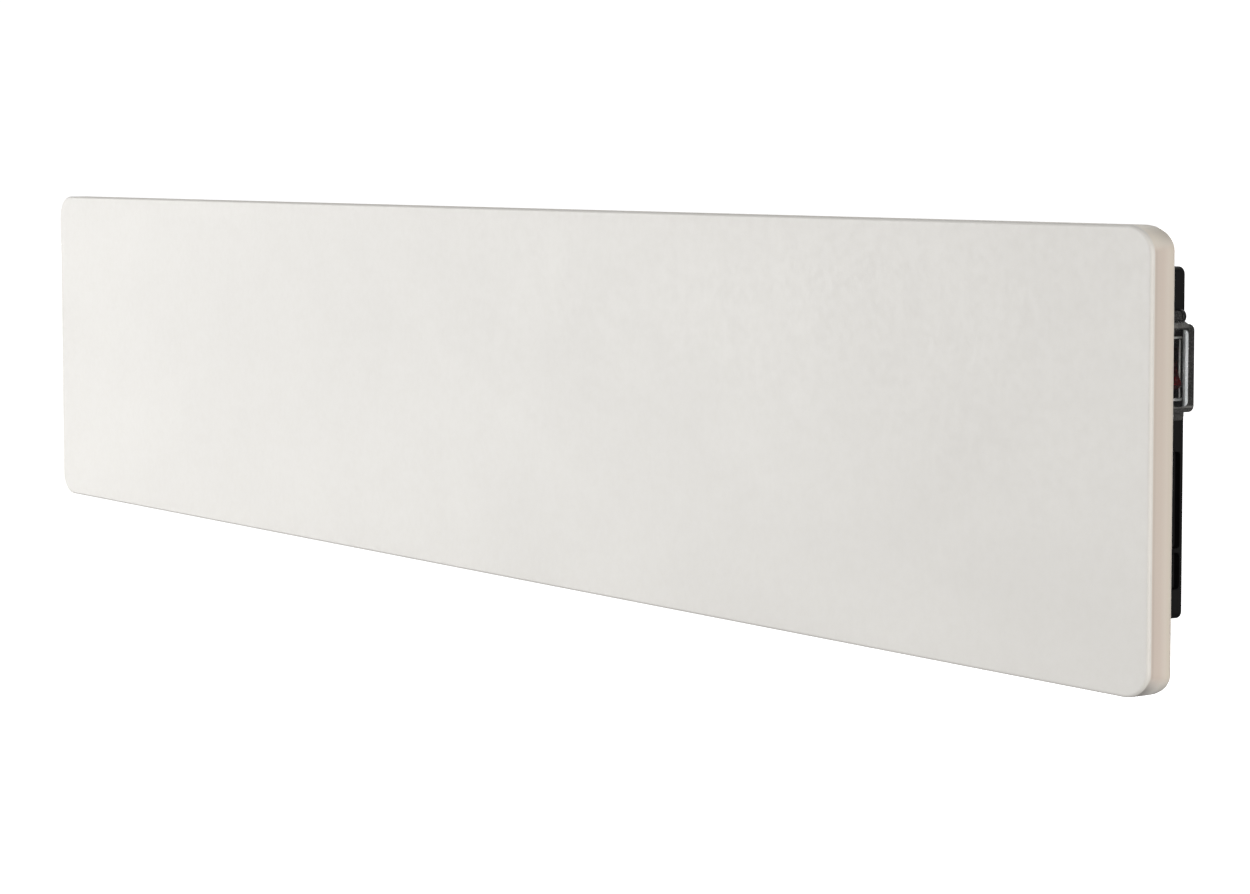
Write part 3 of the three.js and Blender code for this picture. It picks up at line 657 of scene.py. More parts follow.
# --------------------------------------------------------------------- housing
def make_housing():
    w, h = 2 * HX, HZ1 - HZ0
    cz = (HZ0 + HZ1) / 2
    rows = []
    # outer skin from the middle of the back out to the rim, then the inner skin
    rows.append((Y_HB, 1.8 + 8.0))
    for i in range(7):
        a = math.radians(90.0 * i / 6)
        rows.append((Y_HB - 1.8 + 1.8 * math.cos(a), 1.8 - 1.8 * math.sin(a)))
    rows.append((Y_SB + 0.55, 0.0))
    rows.append((Y_SB + 0.3, 0.25))
    rows.append((Y_SB + 0.3, 1.25))
    rows.append((Y_SB + 0.55, 1.5))
    for i in range(3):
        a = math.radians(90.0 * i / 2)
        rows.append((Y_HB - 1.8 + 0.3 * math.sin(a), 1.8 - 0.3 * math.cos(a)))
    rows.append((Y_HB - 1.5, 1.8 + 8.0))
    bm = bmesh.new()
    rings = [on_y(rrect(w - 2 * i, h - 2 * i, 4 - min(i, 3.0), 10, 0, cz), y) for y, i in rows]
    loft(bm, rings)
    ob = raw("housing", bm)

    backing = raw("t0", prism(rrect(16.9, 77, 1.5, 3, -21.65, -33), HX - 5.5, HX - 0.7, on_x))
    combine(ob, [backing], "UNION")

    tools = []
    for z0, z1 in ((-48.0, 4.0), (-70.0, -50.0)):
        tools.append(raw("t", prism(rrect(13.8, z1 - z0, 2.2, 8, -21.7, (z0 + z1) / 2),
                                    HX - 4, HX + 3, on_x)))
    tools.append(raw("t", prism(rrect(14, 28.4, 1.2, 5, SW_Y, SW_Z), HX - 4, HX + 3, on_x)))
    tools.append(raw("t", prism(circle(1.6, 20, SW_Y, BASE_SCREW_Z), HX - 4, HX + 3, on_x)))
    for x, z in POSTS:
        tools.append(raw("t", prism(circle(2.6, 24, x, z), -16, -8, on_y)))
    for x in (-200, 200):
        tools.append(raw("t", prism(circle(2.6, 24, x, 20), -16, -8, on_y)))
    for x in (562, 622):
        tools.append(raw("t", prism(circle(2.0, 20, x, -58), -16, -8, on_y)))
    tools.append(raw("t", prism(rrect(48, 32, 3, 6, 592, -58), -16, -8, on_y)))
    tools.append(raw("t", prism(circle(8.2, 40, GLAND_X, GLAND_Y), HZ0 - 4, HZ0 + 4, on_z)))
    for i in range(6):
        tools.append(raw("t", prism(rrect(3, 13, 1.45, 6, 567.5 + i * 9, -24.5), HZ1 - 4, HZ1 + 4, on_z)))
    for i in range(4):
        tools.append(raw("t", prism(rrect(3, 13, 1.45, 6, 631.5 + i * 9, -24.5), HZ0 - 4, HZ0 + 4, on_z)))
    combine(ob, tools)
    tidy(ob, 1.0)
    soften(ob, 0.35, 2, 50.0, 50.0)
    paint(ob, BLACK)
    stand_for(ob, "heater", "black_steel", "rear_housing")


# ------------------------------------------------------------- folded steel
def folded(points, t, r, n=6):
    """Closed outline of a folded strip: points are its middle line."""
    pts = [Vector(p) for p in points]
    line = [(pts[0], (pts[1] - pts[0]).normalized())]
    for i in range(1, len(pts) - 1):
        a = (pts[i - 1] - pts[i]).normalized()
        b = (pts[i + 1] - pts[i]).normalized()
        turn = math.acos(max(-1, min(1, a.dot(b))))
        cut = r / math.tan(turn / 2)
        p0, p1 = pts[i] + a * cut, pts[i] + b * cut
        centre = pts[i] + (a + b).normalized() * (r / math.sin(turn / 2))
        v0, v1 = p0 - centre, p1 - centre
        ang = math.atan2(v0.x * v1.y - v0.y * v1.x, v0.dot(v1))
        for k in range(n + 1):
            q = ang * k / n
            v = Vector((v0.x * math.cos(q) - v0.y * math.sin(q),
                        v0.x * math.sin(q) + v0.y * math.cos(q)))
            d = Vector((-v.y, v.x)) * (1 if ang > 0 else -1)
            line.append((centre + v, d.normalized()))
    line.append((pts[-1], (pts[-1] - pts[-2]).normalized()))
    left = [p + Vector((-d.y, d.x)) * t / 2 for p, d in line]
    right = [p - Vector((-d.y, d.x)) * t / 2 for p, d in line]
    return [(p.x, p.y) for p in left + right[::-1]]


def make_rails():
    # wall rail: flat on the wall, folded forward, then up into a lip
    out = folded([(-1, -45), (-1, 29), (-6.1, 29), (-6.1, 42)], 2.0, 1.7)
    ob = raw("wall_rail_steel", prism(out, -280, 280, on_x))
    tools = [raw("t", prism(circle(2.6, 28, x, -12), -6, 3, on_y)) for x in (-220, -90, 90, 220)]
    combine(ob, tools)
    soften(ob, 0.3, 2, 50.0, 45.0)
    paint(ob, ZINC)
    stand_for(ob, "wall_bracket", "zinc_steel", "wall_rail")

    out = folded([(-10.8, 8), (-10.8, 43.3), (-3.6, 43.3), (-3.6, 31.5)], 2.0, 1.7)
    ob = raw("hanger_steel", prism(out, -260, 260, on_x))
    tools = [raw("t", prism(circle(2.6, 28, x, 20), -14, -8, on_y)) for x in (-200, 200)]
    combine(ob, tools)
    soften(ob, 0.3, 2, 50.0, 45.0)
    paint(ob, ZINC)
    stand_for(ob, "heater", "zinc_steel", "hanger_rail")


# --------------------------------------------------------------------- screws
def six_lobe(key, a, r):
    return r * (1 + 0.14 * math.cos(6 * a)) if key == "lobe" else r


def make_screw(name, place, axis, head_r, head_h, shank_r, shank_len, mat, body, slot, cad,
               spin=0.0, thread=True):
    """Pan head with a six-lobe recess. place is where the head's underside sits;
    the head stands out along axis."""
    lobe = head_r * 0.44
    prof = []
    prof.append((0.0001, -shank_len))
    prof.append((shank_r * 0.6, -shank_len))
    z = -shank_len + 0.5
    if thread:
        pitch = 0.8
        while z + pitch < -0.6:
            prof.append((shank_r * 0.86, z))
            prof.append((shank_r * 1.0, z + pitch * 0.5))
            z += pitch
    prof.append((shank_r * 0.95, -0.2))
    prof.append((shank_r, 0.0))
    prof.append((head_r - 0.15, 0.0))
    prof.append((head_r, 0.15))
    for i in range(7):
        a = math.radians(90.0 * i / 6)
        prof.append((head_r * (0.62 + 0.38 * math.cos(a)), head_h * (0.42 + 0.58 * math.sin(a))))
    prof.append((lobe * 1.16, head_h, "lobe"))
    prof.append((lobe, head_h - 0.12, "lobe"))
    prof.append((lobe * 0.94, head_h * 0.35, "lobe"))
    prof.append((lobe * 0.35, head_h * 0.22))
    bm, rings = turned(prof, 36, six_lobe)
    made = [add_ring(bm, r) for r in rings]
    for a, b in zip(made, made[1:]):
        bridge(bm, a, b)
    bm.faces.new(made[0])
    bm.faces.new(made[-1])
    m = Vector((0, 0, 1)).rotation_difference(Vector(axis)).to_matrix().to_4x4()
    m = Matrix.Translation(Vector(place)) @ m @ Matrix.Rotation(spin, 4, "Z")
    bmesh.ops.transform(bm, matrix=m, verts=bm.verts)
    ob = mesh_object(name, bm, smooth=38.0)
    paint(ob, mat)
    stand_for(ob, body, slot, cad)
    return ob


def make_screws():
    for i, (x, z) in enumerate(POSTS):
        make_screw(f"housing_screw_head_{i + 1}", (x, Y_HB + 0.2, z), (0, 1, 0), 4.2, 1.9, 2.0, 9.7,
                   DARK_SCREW, "heater", "dark_screw", f"housing_screw_{i + 1}", 0.4 + i * 0.7)
    for i, x in enumerate((-200, 200)):
        make_screw(f"hanger_screw_head_{i + 1}", (x, -9.6, 20), (0, 1, 0), 4.2, 1.8, 2.0, 8.4,
                   SCREW, "heater", "screw_steel", f"hanger_screw_{i + 1}", 0.9 + i)
    for i, x in enumerate((562, 622)):
        make_screw(f"cover_screw_head_{i + 1}", (x, -10.4, -58), (0, 1, 0), 3.4, 1.5, 1.6, 7.6,
                   DARK_SCREW, "heater", "dark_screw", f"cover_screw_{i + 1}", 0.3 + i)
    make_screw("base_screw_head", (HX + 3.2, SW_Y, BASE_SCREW_Z), (1, 0, 0), 2.3, 1.3, 1.3, 10.2,
               SCREW, "heater", "screw_steel", "base_screw", 0.2)


# ------------------------------------------------------------------ small trim
def make_pads():
    for name, x in (("spacer_pad_left", -500), ("spacer_pad_right", 500)):
        prof = [(0.0001, -11.8), (8.5, -11.8), (10.6, -11.8), (11.0, -11.4)]
        for k in range(3):
            z = -9.6 + k * 2.4
            prof += [(11.0, z), (10.6, z + 0.35), (10.6, z + 0.85), (11.0, z + 1.2)]
        prof += [(11.0, -2.2)] + [(9.3 + 1.7 * math.cos(math.radians(a)), -2.0 + 1.7 * math.sin(math.radians(a)))
                                  for a in (15, 35, 55, 75, 90)]
        prof += [(6.2, -0.3), (5.8, -0.6), (3.0, -0.6), (0.0001, -0.6)]
        bm, rings = turned(prof, 48)
        made = [add_ring(bm, r) for r in rings]
        for a, b in zip(made, made[1:]):
            bridge(bm, a, b)
        bm.faces.new(made[0])
        bm.faces.new(made[-1])
        rot = Vector((0, 0, 1)).rotation_difference(Vector((0, 1, 0))).to_matrix().to_4x4()
        bmesh.ops.transform(bm, matrix=Matrix.Translation((x, 0, -62)) @ rot, verts=bm.verts)
        ob = mesh_object(name + "_rubber", bm, smooth=40.0)
        paint(ob, RUBBER)
        stand_for(ob, "heater", "black_rubber", name)


def make_cover():
    ob = raw("service_cover_plate", prism(rrect(72, 46, 4, 8, 592, -58), -11.8, -10.6, on_y))
    tools = [raw("t", prism(circle(2.0, 24, x, -58), -14, -8, on_y)) for x in (562, 622)]
    combine(ob, tools)
    soften(ob, 0.3, 3, 50.0, 45.0)
    paint(ob, BLACK)
    stand_for(ob, "heater", "black_steel", "service_cover")


def make_gland():
    z = HZ0

    def shape(key, a, r):
        if key == "hex":
            q = (a + math.pi / 6) % (math.pi / 3) - math.pi / 6
            return min(r, 9.5 / math.cos(q))
        if key == "knurl":
            return r + 0.22 * math.cos(18 * a)
        return r

    prof = [(4.0, z + 7.0), (4.4, z + 7.0)]
    h = z + 6.8
    prof.append((7.5, z + 7.0))
    while h > z + 0.8:
        prof += [(7.8, h - 0.3), (7.35, h - 0.75)]
        h -= 0.9
    prof += [(7.4, z - 0.1), (7.8, z - 0.3), (10.2, z - 0.3, "hex"), (10.4, z - 0.6, "hex"),
             (10.4, z - 3.7, "hex"), (10.1, z - 4.0, "hex"), (9.2, z - 4.3), (9.2, z - 4.7),
             (9.6, z - 5.1, "knurl"), (9.5, z - 9.8, "knurl"), (9.2, z - 10.4)]
    for a in (15, 35, 55, 75):
        prof.append((5.0 + 4.2 * math.cos(math.radians(a)), z - 10.4 - 5.1 * math.sin(math.radians(a))))
    prof += [(4.6, z - 15.6), (4.0, z - 15.3)]
    bm, rings = turned(prof, 72, shape)
    made = [add_ring(bm, r) for r in rings]
    for a, b in zip(made, made[1:]):
        bridge(bm, a, b)
    bridge(bm, made[-1], made[0])
    bmesh.ops.translate(bm, vec=(GLAND_X, GLAND_Y, 0), verts=bm.verts)
    ob = mesh_object("gland", bm, smooth=35.0)
    paint(ob, BLACK_PLASTIC)
    stand_for(ob, "heater", "black_plastic", "cable_gland")


# ---------------------------------------------------------------------- switch
def lid_x(d, iy, iz, r, n=10):
    """A ring of the lid's outline, d out from the wall, iy and iz in from its edge."""
    w, h, zc = 2 * LID_HALF, LID_Z1 - LID_Z0, (LID_Z0 + LID_Z1) / 2
    return on_x(rrect(w - 2 * iy, h - 2 * iz, r, n, SW_Y, zc), HX + d)


def make_switch():
    zc = (LID_Z0 + LID_Z1) / 2
    zb, hb = (BASE_Z0 + BASE_Z1) / 2, BASE_Z1 - BASE_Z0
    p = lambda d: HX + d

    # base frame with its raised rim and hinge lugs
    bm = bmesh.new()
    rows = [(1.4, 0.3), (1.6, 0.0), (2.7, 0.0), (2.9, 0.12), (3.0, 0.4)]
    loft(bm, [on_x(rrect(20.6 - 2 * i, hb - 2 * i, 2.5 - i, 8, SW_Y, zb), p(d)) for d, i in rows])
    base = raw("switch_base_frame", bm)
    adds = []
    for y0, y1 in ((-7.8, -5.6), (5.6, 7.8)):
        outline = [(p(1.45), 71.8), (p(2.95), 71.8), (p(2.95), 73.0)]
        outline += [(p(HINGE_P) + 3.6 * math.cos(math.radians(a)), HINGE_Z + 3.6 * math.sin(math.radians(a)))
                    for a in range(-78, 128, 12)]
        outline += [(p(1.45), HINGE_Z + 2.85)]
        bm = bmesh.new()
        rings = []
        cx = sum(q[0] for q in outline) / len(outline)
        cz = sum(q[1] for q in outline) / len(outline)
        for y, k in ((y0, 0.95), (y0 + 0.3, 1.0), (y1 - 0.3, 1.0), (y1, 0.95)):
            rings.append([Vector((cx + (q[0] - cx) * k, SW_Y + y, cz + (q[1] - cz) * k)) for q in outline])
        loft(bm, rings)
        adds.append(raw("t", bm))
    combine(base, adds, "UNION")
    cuts = [raw("t", prism(rrect(14.4, 28.8, 1.4, 6, SW_Y, SW_Z), p(-4), p(9), on_x)),
            raw("t", prism(circle(1.15, 24, p(HINGE_P), HINGE_Z), SW_Y - 14, SW_Y + 14, on_y)),
            raw("t", prism(circle(1.6, 24, SW_Y, BASE_SCREW_Z), p(-4), p(9), on_x))]
    combine(base, cuts)
    soften(base, 0.12, 2, 50.0, 40.0)
    paint(base, SMOKE)
    stand_for(base, "heater", "smoke_plastic", "switch_base")

    # hinge pin with domed ends
    prof = [(0.0001, -7.8), (0.5, -7.75), (0.8, -7.6), (0.9, -7.4), (0.9, 7.4), (0.8, 7.6), (0.5, 7.75), (0.0001, 7.8)]
    bm, rings = turned(prof, 24)
    made = [add_ring(bm, r) for r in rings]
    for a, b in zip(made, made[1:]):
        bridge(bm, a, b)
    bm.faces.new(made[0])
    bm.faces.new(made[-1])
    rot = Vector((0, 0, 1)).rotation_difference(Vector((0, 1, 0))).to_matrix().to_4x4()
    bmesh.ops.transform(bm, matrix=Matrix.Translation((p(HINGE_P), SW_Y, HINGE_Z)) @ rot, verts=bm.verts)
    ob = mesh_object("hinge_pin", bm, smooth=35.0)
    paint(ob, SCREW)
    stand_for(ob, "heater", "screw_steel", "lid_hinge_pin")

    # switch body: block behind the wall, bezel with a sunk border, and the well
    tip = ROCKER_TOP + ROCKER_HALF * math.tan(math.radians(ROCKER_TILT))
    reach = math.hypot(ROCKER_HALF, tip)
    well = 2 * reach + 0.7
    bm = bmesh.new()
    rows = [(-20.0, 12.0, 26.4, 0.8), (-19.6, 12.8, 27.2, 1.0), (-19.0, 13.2, 27.6, 1.2),
            (3.2, 13.2, 27.6, 1.2), (3.2, 15.8, 34.2, 1.6), (3.35, 16.0, 34.4, 1.7),
            (3.75, 16.0, 34.4, 1.7), (3.97, 15.87, 34.27, 1.65), (4.12, 15.6, 34.0, 1.5),
            (4.2, 15.2, 33.6, 1.3), (4.2, 13.7, 32.1, 1.2), (4.12, 13.3, 31.7, 1.05),
            (3.97, 13.08, 31.48, 1.0), (3.75, 13.0, 31.4, 1.0), (3.75, 11.9, 30.3, 0.8),
            (3.75, 11.5, 23.6, 0.75),
            (3.68, 11.1, 23.2, 0.6), (3.5, 10.9, 23.0, 0.5), (3.0, 10.9, 23.0, 0.5),
            (3.0, 11.0, well, 0.5), (-6.95, 11.0, well, 0.5)]
    loft(bm, [on_x(rrect(w, h, r, 6, SW_Y, SW_Z), p(d)) for d, w, h, r in rows])
    body = raw("switch_block", bm)
    combine(body, [raw("t", prism(circle(1.35, 28, p(ROCKER_P), SW_Z), SW_Y - 8, SW_Y + 8, on_y))])
    paint(body, BLACK_PLASTIC, BEZEL_HIGHLIGHT)
    # painted highlights: the bezel's rounded edges, the bands above and below it and a thin line at the inner lip take
    # the pale material
    for poly in body.data.polygons:
        c = poly.center / MM
        dy, dz = abs(c.y - SW_Y), abs(c.z - SW_Z)
        rounded = p(3.8) < c.x < p(4.19) and abs(poly.normal.x) < 0.995
        below = c.z < SW_Z - 15.6 and c.x > p(3.8)
        top = c.z > SW_Z + 16.2 and c.x > p(3.8)
        line = p(3.4) < c.x < p(3.77) and 5.4 < dy < 6.52 and dz < 15.5
        poly.material_index = 1 if (rounded and dy > 7.3) or below or top or line else 0
    finish_shading(body, 40.0, True)
    stand_for(body, "heater", "black_plastic", "switch_body")

    # rocker: two shallow dished faces meeting in a soft ridge, lower end out
    rise = math.tan(math.radians(ROCKER_TILT))
    outline = []
    n = 14
    for i in range(-n, n + 1):
        w = ROCKER_HALF * 0.97 * i / n
        u = ROCKER_TOP + abs(w) * rise
        u += 0.30 * math.exp(-(w / 1.5) ** 2)
        u -= 0.22 * math.sin(math.pi * min(1.0, abs(w) / ROCKER_HALF))
        outline.append((u, w))
    a0 = math.degrees(math.atan2(ROCKER_HALF, tip))
    a1 = math.degrees(math.atan2(math.sqrt(reach * reach - 1), -1))
    up = [(reach * math.cos(math.radians(a0 + (a1 - a0) * i / 10)),
           reach * math.sin(math.radians(a0 + (a1 - a0) * i / 10))) for i in range(11)]
    outline += up
    outline += [(-2.2, 6.0), (-2.2, -6.0)]
    outline += [(u, -w) for u, w in reversed(up)]
    tilt = Matrix.Rotation(math.radians(-ROCKER_TILT), 4, "Y")
    bm = bmesh.new()
    rings = []
    cu = 0.6
    for y, k in ((-5.2, 0.955), (-5.1, 0.975), (-4.85, 0.992), (-4.5, 1.0), (4.5, 1.0), (4.85, 0.992), (5.1, 0.975), (5.2, 0.955)):
        ring = []
        for u, w in outline:
            v = Vector((cu + (u - cu) * k, y, w * (0.985 + 0.015 * (k - 0.955) / 0.045)))
            ring.append(tilt @ v + Vector((p(ROCKER_P), SW_Y, SW_Z)))
        rings.append(ring)
    loft(bm, rings)
    ob = raw("rocker_cap", bm)
    combine(ob, [raw("t", prism(circle(1.15, 28, p(ROCKER_P), SW_Z), SW_Y - 6.3, SW_Y + 6.3, on_y))], "UNION")
    finish_shading(ob, 32.0, True)
    paint(ob, RED)
    stand_for(ob, "rocker", "red_plastic", "rocker")

    # flip lid: clear walls, dark rim round a clear, slightly crowned window
    outer = [(3.3, 0.12, 0.12, 3.3), (3.42, 0.0, 0.0, 3.4), (5.0, 0.0, 0.0, 3.4), (10.9, 0.0, 0.0, 3.4)]
    for a in (18, 36, 54, 72, 90):
        i = 1.1 - 1.1 * math.cos(math.radians(a))
        outer.append((10.9 + 1.1 * math.sin(math.radians(a)), i, i, 3.4 - i * 0.6))
    outer += [(12.0, RIM_Y - 0.4, RIM_Z - 0.4, 3.2), (11.93, RIM_Y - 0.15, RIM_Z - 0.15, 3.1),
              (11.6, RIM_Y, RIM_Z, 3.0), (11.6, RIM_Y + 0.25, RIM_Z + 0.25, 2.8),
              (11.75, 5.1, 4.4, 2.3), (11.85, 6.4, 6.6, 1.6), (11.9, 7.8, 9.6, 0.9)]
    inner = [(3.3, 1.28, 1.28, 2.3), (3.42, 1.4, 1.4, 2.2), (5.3, 1.4, 1.4, 2.2), (10.0, 1.4, 1.4, 2.2),
             (10.3, 1.5, 1.5, 2.2), (10.5, 1.75, 1.75, 2.3), (10.6, 2.2, 2.2, 2.5),
             (10.6, RIM_Y, RIM_Z, 2.9), (10.62, RIM_Y + 0.25, RIM_Z + 0.25, 2.7),
             (10.75, 5.1, 4.4, 2.3), (10.85, 6.4, 6.6, 1.6), (10.9, 7.8, 9.6, 0.9)]
    bm = bmesh.new()
    layers = list(reversed(inner)) + outer
    loft(bm, [lid_x(*row) for row in layers])
    lid = raw("flip_lid", bm)
    strap = [(p(HINGE_P) - 0.2, LID_Z1 - 0.9), (p(11.0), LID_Z1 - 0.9), (p(11.55), LID_Z1 - 0.4),
             (p(11.2), LID_Z1 + 0.2), (p(10.0), LID_Z1 + 0.8), (p(8.5), LID_Z1 + 1.4),
             (p(HINGE_P) + 3.2, LID_Z1 + 2.1), (p(HINGE_P) + 2.85, HINGE_Z),
             (p(HINGE_P) - 0.2, HINGE_Z)]
    adds = [raw("t", prism(strap, SW_Y - 5.2, SW_Y + 5.2, on_y)),
            raw("t", prism(circle(3.0, 36, p(HINGE_P), HINGE_Z), SW_Y - 5.2, SW_Y + 5.2, on_y))]
    combine(lid, adds, "UNION")
    combine(lid, [raw("t", prism(circle(1.15, 24, p(HINGE_P), HINGE_Z), SW_Y - 14, SW_Y + 14, on_y))])
    paint(lid, CLEAR, LID_RIM, FROSTED)
    h = LID_Z1 - LID_Z0
    for poly in lid.data.polygons:
        c = poly.center / MM
        outside = c.x > p(10.95) and poly.normal.x > -0.2
        qy = abs(c.y - SW_Y) - (LID_HALF - RIM_Y - 3.0)
        qz = abs(c.z - zc) - (h / 2 - RIM_Z - 3.0)
        framed = math.hypot(max(qy, 0), max(qz, 0)) + min(max(qy, qz), 0) - 3.0 > -0.08
        strap_face = abs(c.y - SW_Y) < 5.25 and c.z > LID_Z1 - 0.95 and c.x < p(11.6)
        foot = c.x < p(5.2) and c.z < LID_Z1 - 0.5
        poly.material_index = 1 if (outside and framed) or strap_face else (2 if foot else 0)
    soften(lid, 0.10, 2, 55.0, 40.0)
    stand_for(lid, "switch_lid", "clear_plastic", "switch_lid")


make_slab()
make_housing()
make_rails()
make_screws()
make_pads()
make_cover()
make_gland()
make_switch()

# -------------------------------------------------- pieces kept from the frame
KEPT = {
    "heating_mat": WEAVE, "heating_element": ETCHED, "reflector_foil": FOIL,
    "insulation_board": WOOL, "bay_divider": ZINC, "control_pcb": BOARD,
    "pcb_rail_lower": BLACK_PLASTIC, "pcb_rail_upper": BLACK_PLASTIC, "power_relay": BLUE_CASE,
    "power_module": BLACK_PLASTIC, "filter_capacitor": SLEEVE, "pcb_terminal": CERAMIC,
    "terminal_block": CERAMIC, "thermal_cutout": CERAMIC, "temperature_sensor": SCREW,
    "earth_stud": BRASS, "live_wire": WIRE_BROWN, "lamp_neutral_wire": WIRE_BLUE,
    "switched_wire": WIRE_BROWN, "neutral_wire": WIRE_BLUE, "earth_wire": WIRE_GREEN,
    "heater_lead_1": WIRE_WHITE, "heater_lead_2": WIRE_WHITE, "sensor_lead": WIRE_WHITE,
    "gland_nut": BLACK_PLASTIC, "switch_gasket": RUBBER, "switch_blade_1": BRASS,
    "switch_blade_2": BRASS, "switch_blade_3": BRASS,
}
for i in range(1, 7):
    KEPT[f"slab_post_{i}"] = ZINC
for name, mat in KEPT.items():
    ob = NODES[name]
    paint(ob, mat)
    b = ob.modifiers.new("edge", "BEVEL")
    b.width = 0.15 * MM
    b.segments = 2
    b.limit_method = "ANGLE"
    b.angle_limit = math.radians(50)
    finish_shading(ob, 40.0, True)

# --------------------------------------------------------- camera and studio
WORLD = 0.74
LIGHTS = [
    # name, place, target, size, watts, colour
    ("key", (-3.6, -1.9, 0.1), (-0.5, 0, 0), (2.0, 1.8), 30.0, (1.0, 0.995, 0.985)),
    ("front", (-2.6, -3.0, 0.1), (-0.5, 0, 0), (2.4, 1.8), 36.0, (1.0, 0.995, 0.985)),
    ("side", (3.3, -0.3, 0.1), (0.7, 0, 0), (1.0, 1.6), 54.0, (1.0, 0.965, 0.93)),
    ("rear", (-0.9, 3.4, 1.1), (0, 0, 0), (2.6, 1.4), 110.0, (1.0, 0.995, 0.985)),
]


def make_camera():
    f, cy = 3644.936, 423.0596
    yaw, pitch, roll = 1.005118, 0.0757457, -0.00089155
    d = Vector((-math.sin(yaw), math.cos(yaw), 0))
    r = Vector((math.cos(yaw), math.sin(yaw), 0))
    u = Vector((0, 0, 1))
    d2 = d * math.cos(pitch) - u * math.sin(pitch)
    u2 = u * math.cos(pitch) + d * math.sin(pitch)
    r3 = r * math.cos(roll) + u2 * math.sin(roll)
    u3 = u2 * math.cos(roll) - r * math.sin(roll)
    m = Matrix((r3, u3, -d2)).transposed().to_4x4()
    cam = bpy.data.cameras.new("camera")
    cam.sensor_fit = "HORIZONTAL"
    cam.sensor_width = 36.0
    cam.lens = f * 36.0 / 1250.0
    cam.shift_y = (cy + 0.5 - 447.0) / 1250.0
    cam.clip_start, cam.clip_end = 0.05, 100.0
    ob = bpy.data.objects.new("camera", cam)
    scene.collection.objects.link(ob)
    ob.matrix_world = Matrix.Translation((2.154713, -1.302142, 0.166030)) @ m
    scene.camera = ob


def make_area(name, place, target, size, power, color=(1, 1, 1)):
    light = bpy.data.lights.new(name, "AREA")
    light.shape = "RECTANGLE"
    light.size, light.size_y = size
    light.energy = power
    light.color = color
    ob = bpy.data.objects.new(name, light)
    scene.collection.objects.link(ob)
    ob.location = place
    ob.rotation_mode = "QUATERNION"
    ob.rotation_quaternion = (Vector(place) - Vector(target)).to_track_quat("Z", "Y")
    ob.visible_camera = False
    return ob


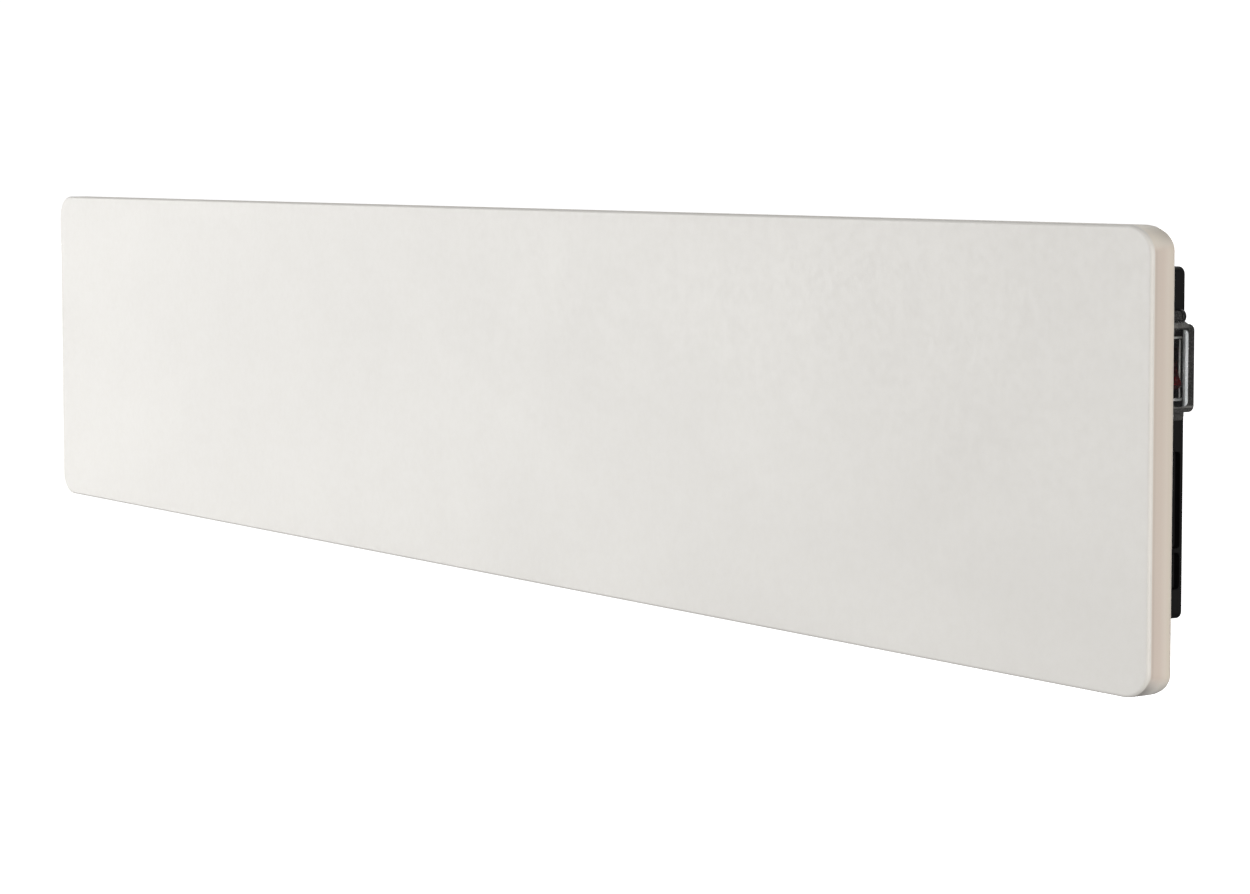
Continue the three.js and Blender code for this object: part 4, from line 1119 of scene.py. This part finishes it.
def make_studio():
    world = bpy.data.worlds.new("studio")
    scene.world = world
    world.use_nodes = True
    t = world.node_tree
    t.nodes.clear()
    out = t.nodes.new("ShaderNodeOutputWorld")
    tc = t.nodes.new("ShaderNodeTexCoord")

    def along(way):
        n = t.nodes.new("ShaderNodeVectorMath")
        n.operation = "DOT_PRODUCT"
        n.inputs[1].default_value = Vector(way).normalized()
        t.links.new(tc.outputs["Generated"], n.inputs[0])
        return n.outputs["Value"]

    def ramp(value, stops):
        r = t.nodes.new("ShaderNodeMapRange")
        r.inputs["From Min"].default_value = -1.0
        r.inputs["From Max"].default_value = 1.0
        t.links.new(value, r.inputs["Value"])
        n = t.nodes.new("ShaderNodeValToRGB")
        n.color_ramp.interpolation = "EASE"
        e = n.color_ramp.elements
        while len(e) < len(stops):
            e.new(0.5)
        for el, (at, v) in zip(e, stops):
            el.position = (at + 1) / 2
            el.color = (*v, 1) if isinstance(v, tuple) else (v, v, v, 1)
        t.links.new(r.outputs["Result"], n.inputs["Fac"])
        return n.outputs["Color"]

    # dim towards the right rear, dimmer still from below
    side = ramp(along((0.80, 0.60, 0.0)), [(-0.55, 1.0), (0.15, 0.55), (0.62, 0.10)])
    up = ramp(along((0, 0, 1)), [(-0.90, 0.32), (-0.38, 0.95), (0.38, 1.0), (0.90, 0.62)])
    mul = t.nodes.new("ShaderNodeMix")
    mul.data_type = "RGBA"
    mul.blend_type = "MULTIPLY"
    rgba = [i for i in mul.inputs if i.type == "RGBA"]
    mul.inputs[0].default_value = 1.0
    t.links.new(side, rgba[0])
    t.links.new(up, rgba[1])
    soft = t.nodes.new("ShaderNodeBackground")
    t.links.new([o for o in mul.outputs if o.type == "RGBA"][0], soft.inputs["Color"])
    soft.inputs["Strength"].default_value = WORLD
    white = t.nodes.new("ShaderNodeBackground")
    white.inputs["Color"].default_value = (1, 1, 1, 1)
    white.inputs["Strength"].default_value = 1.05
    path = t.nodes.new("ShaderNodeLightPath")
    mix = t.nodes.new("ShaderNodeMixShader")
    seen = t.nodes.new("ShaderNodeMath")
    seen.operation = "MAXIMUM"
    t.links.new(path.outputs["Is Camera Ray"], seen.inputs[0])
    bounced = t.nodes.new("ShaderNodeMath")
    bounced.operation = "ADD"
    t.links.new(path.outputs["Diffuse Depth"], bounced.inputs[0])
    t.links.new(path.outputs["Glossy Depth"], bounced.inputs[1])
    straight = t.nodes.new("ShaderNodeMath")
    straight.operation = "LESS_THAN"
    straight.inputs[1].default_value = 0.5
    t.links.new(bounced.outputs[0], straight.inputs[0])
    through = t.nodes.new("ShaderNodeMath")
    through.operation = "MULTIPLY"
    t.links.new(path.outputs["Is Transmission Ray"], through.inputs[0])
    t.links.new(straight.outputs[0], through.inputs[1])
    t.links.new(through.outputs[0], seen.inputs[1])
    t.links.new(seen.outputs[0], mix.inputs["Fac"])
    t.links.new(soft.outputs[0], mix.inputs[1])
    t.links.new(white.outputs[0], mix.inputs[2])
    t.links.new(mix.outputs[0], out.inputs["Surface"])

    for row in LIGHTS:
        make_area(*row)

    # floor: pale, one-sided, shows as clean white and casts no light back
    bm = bmesh.new()
    loft(bm, [[Vector((x, y, 0)) for x, y in rrect(60000, 60000, 6000, 8)]], (True, False))
    floor = mesh_object("floor", bm, weighted=False)
    if floor.data.polygons[0].normal.z < 0:
        floor.data.flip_normals()
    floor.location = (0, 0, -0.75)
    floor.visible_diffuse = False
    floor.visible_glossy = False
    floor.visible_transmission = False
    m = Mat("floor_paper", color=(0.92, 0.92, 0.92), rough=0.8, spec=0.1)
    m.color(m.ramp(m.noise(3.0, 3.0), [(0.3, (0.91, 0.91, 0.91)), (0.7, (0.93, 0.93, 0.93))]))
    m.set("Emission Color", (1, 1, 1, 1))
    m.set("Emission Strength", 1.0)
    clear = m.t.nodes.new("ShaderNodeBsdfTransparent")
    geo = m.t.nodes.new("ShaderNodeNewGeometry")
    two = m.t.nodes.new("ShaderNodeMixShader")
    end = m.t.nodes["Material Output"]
    m.link(geo.outputs["Backfacing"], two.inputs[0])
    m.link(m.b.outputs[0], two.inputs[1])
    m.link(clear.outputs[0], two.inputs[2])
    m.link(two.outputs[0], end.inputs["Surface"])
    paint(floor, m.m)


make_camera()
make_studio()
scene.view_settings.view_transform = "Standard"
scene.view_settings.look = "None"
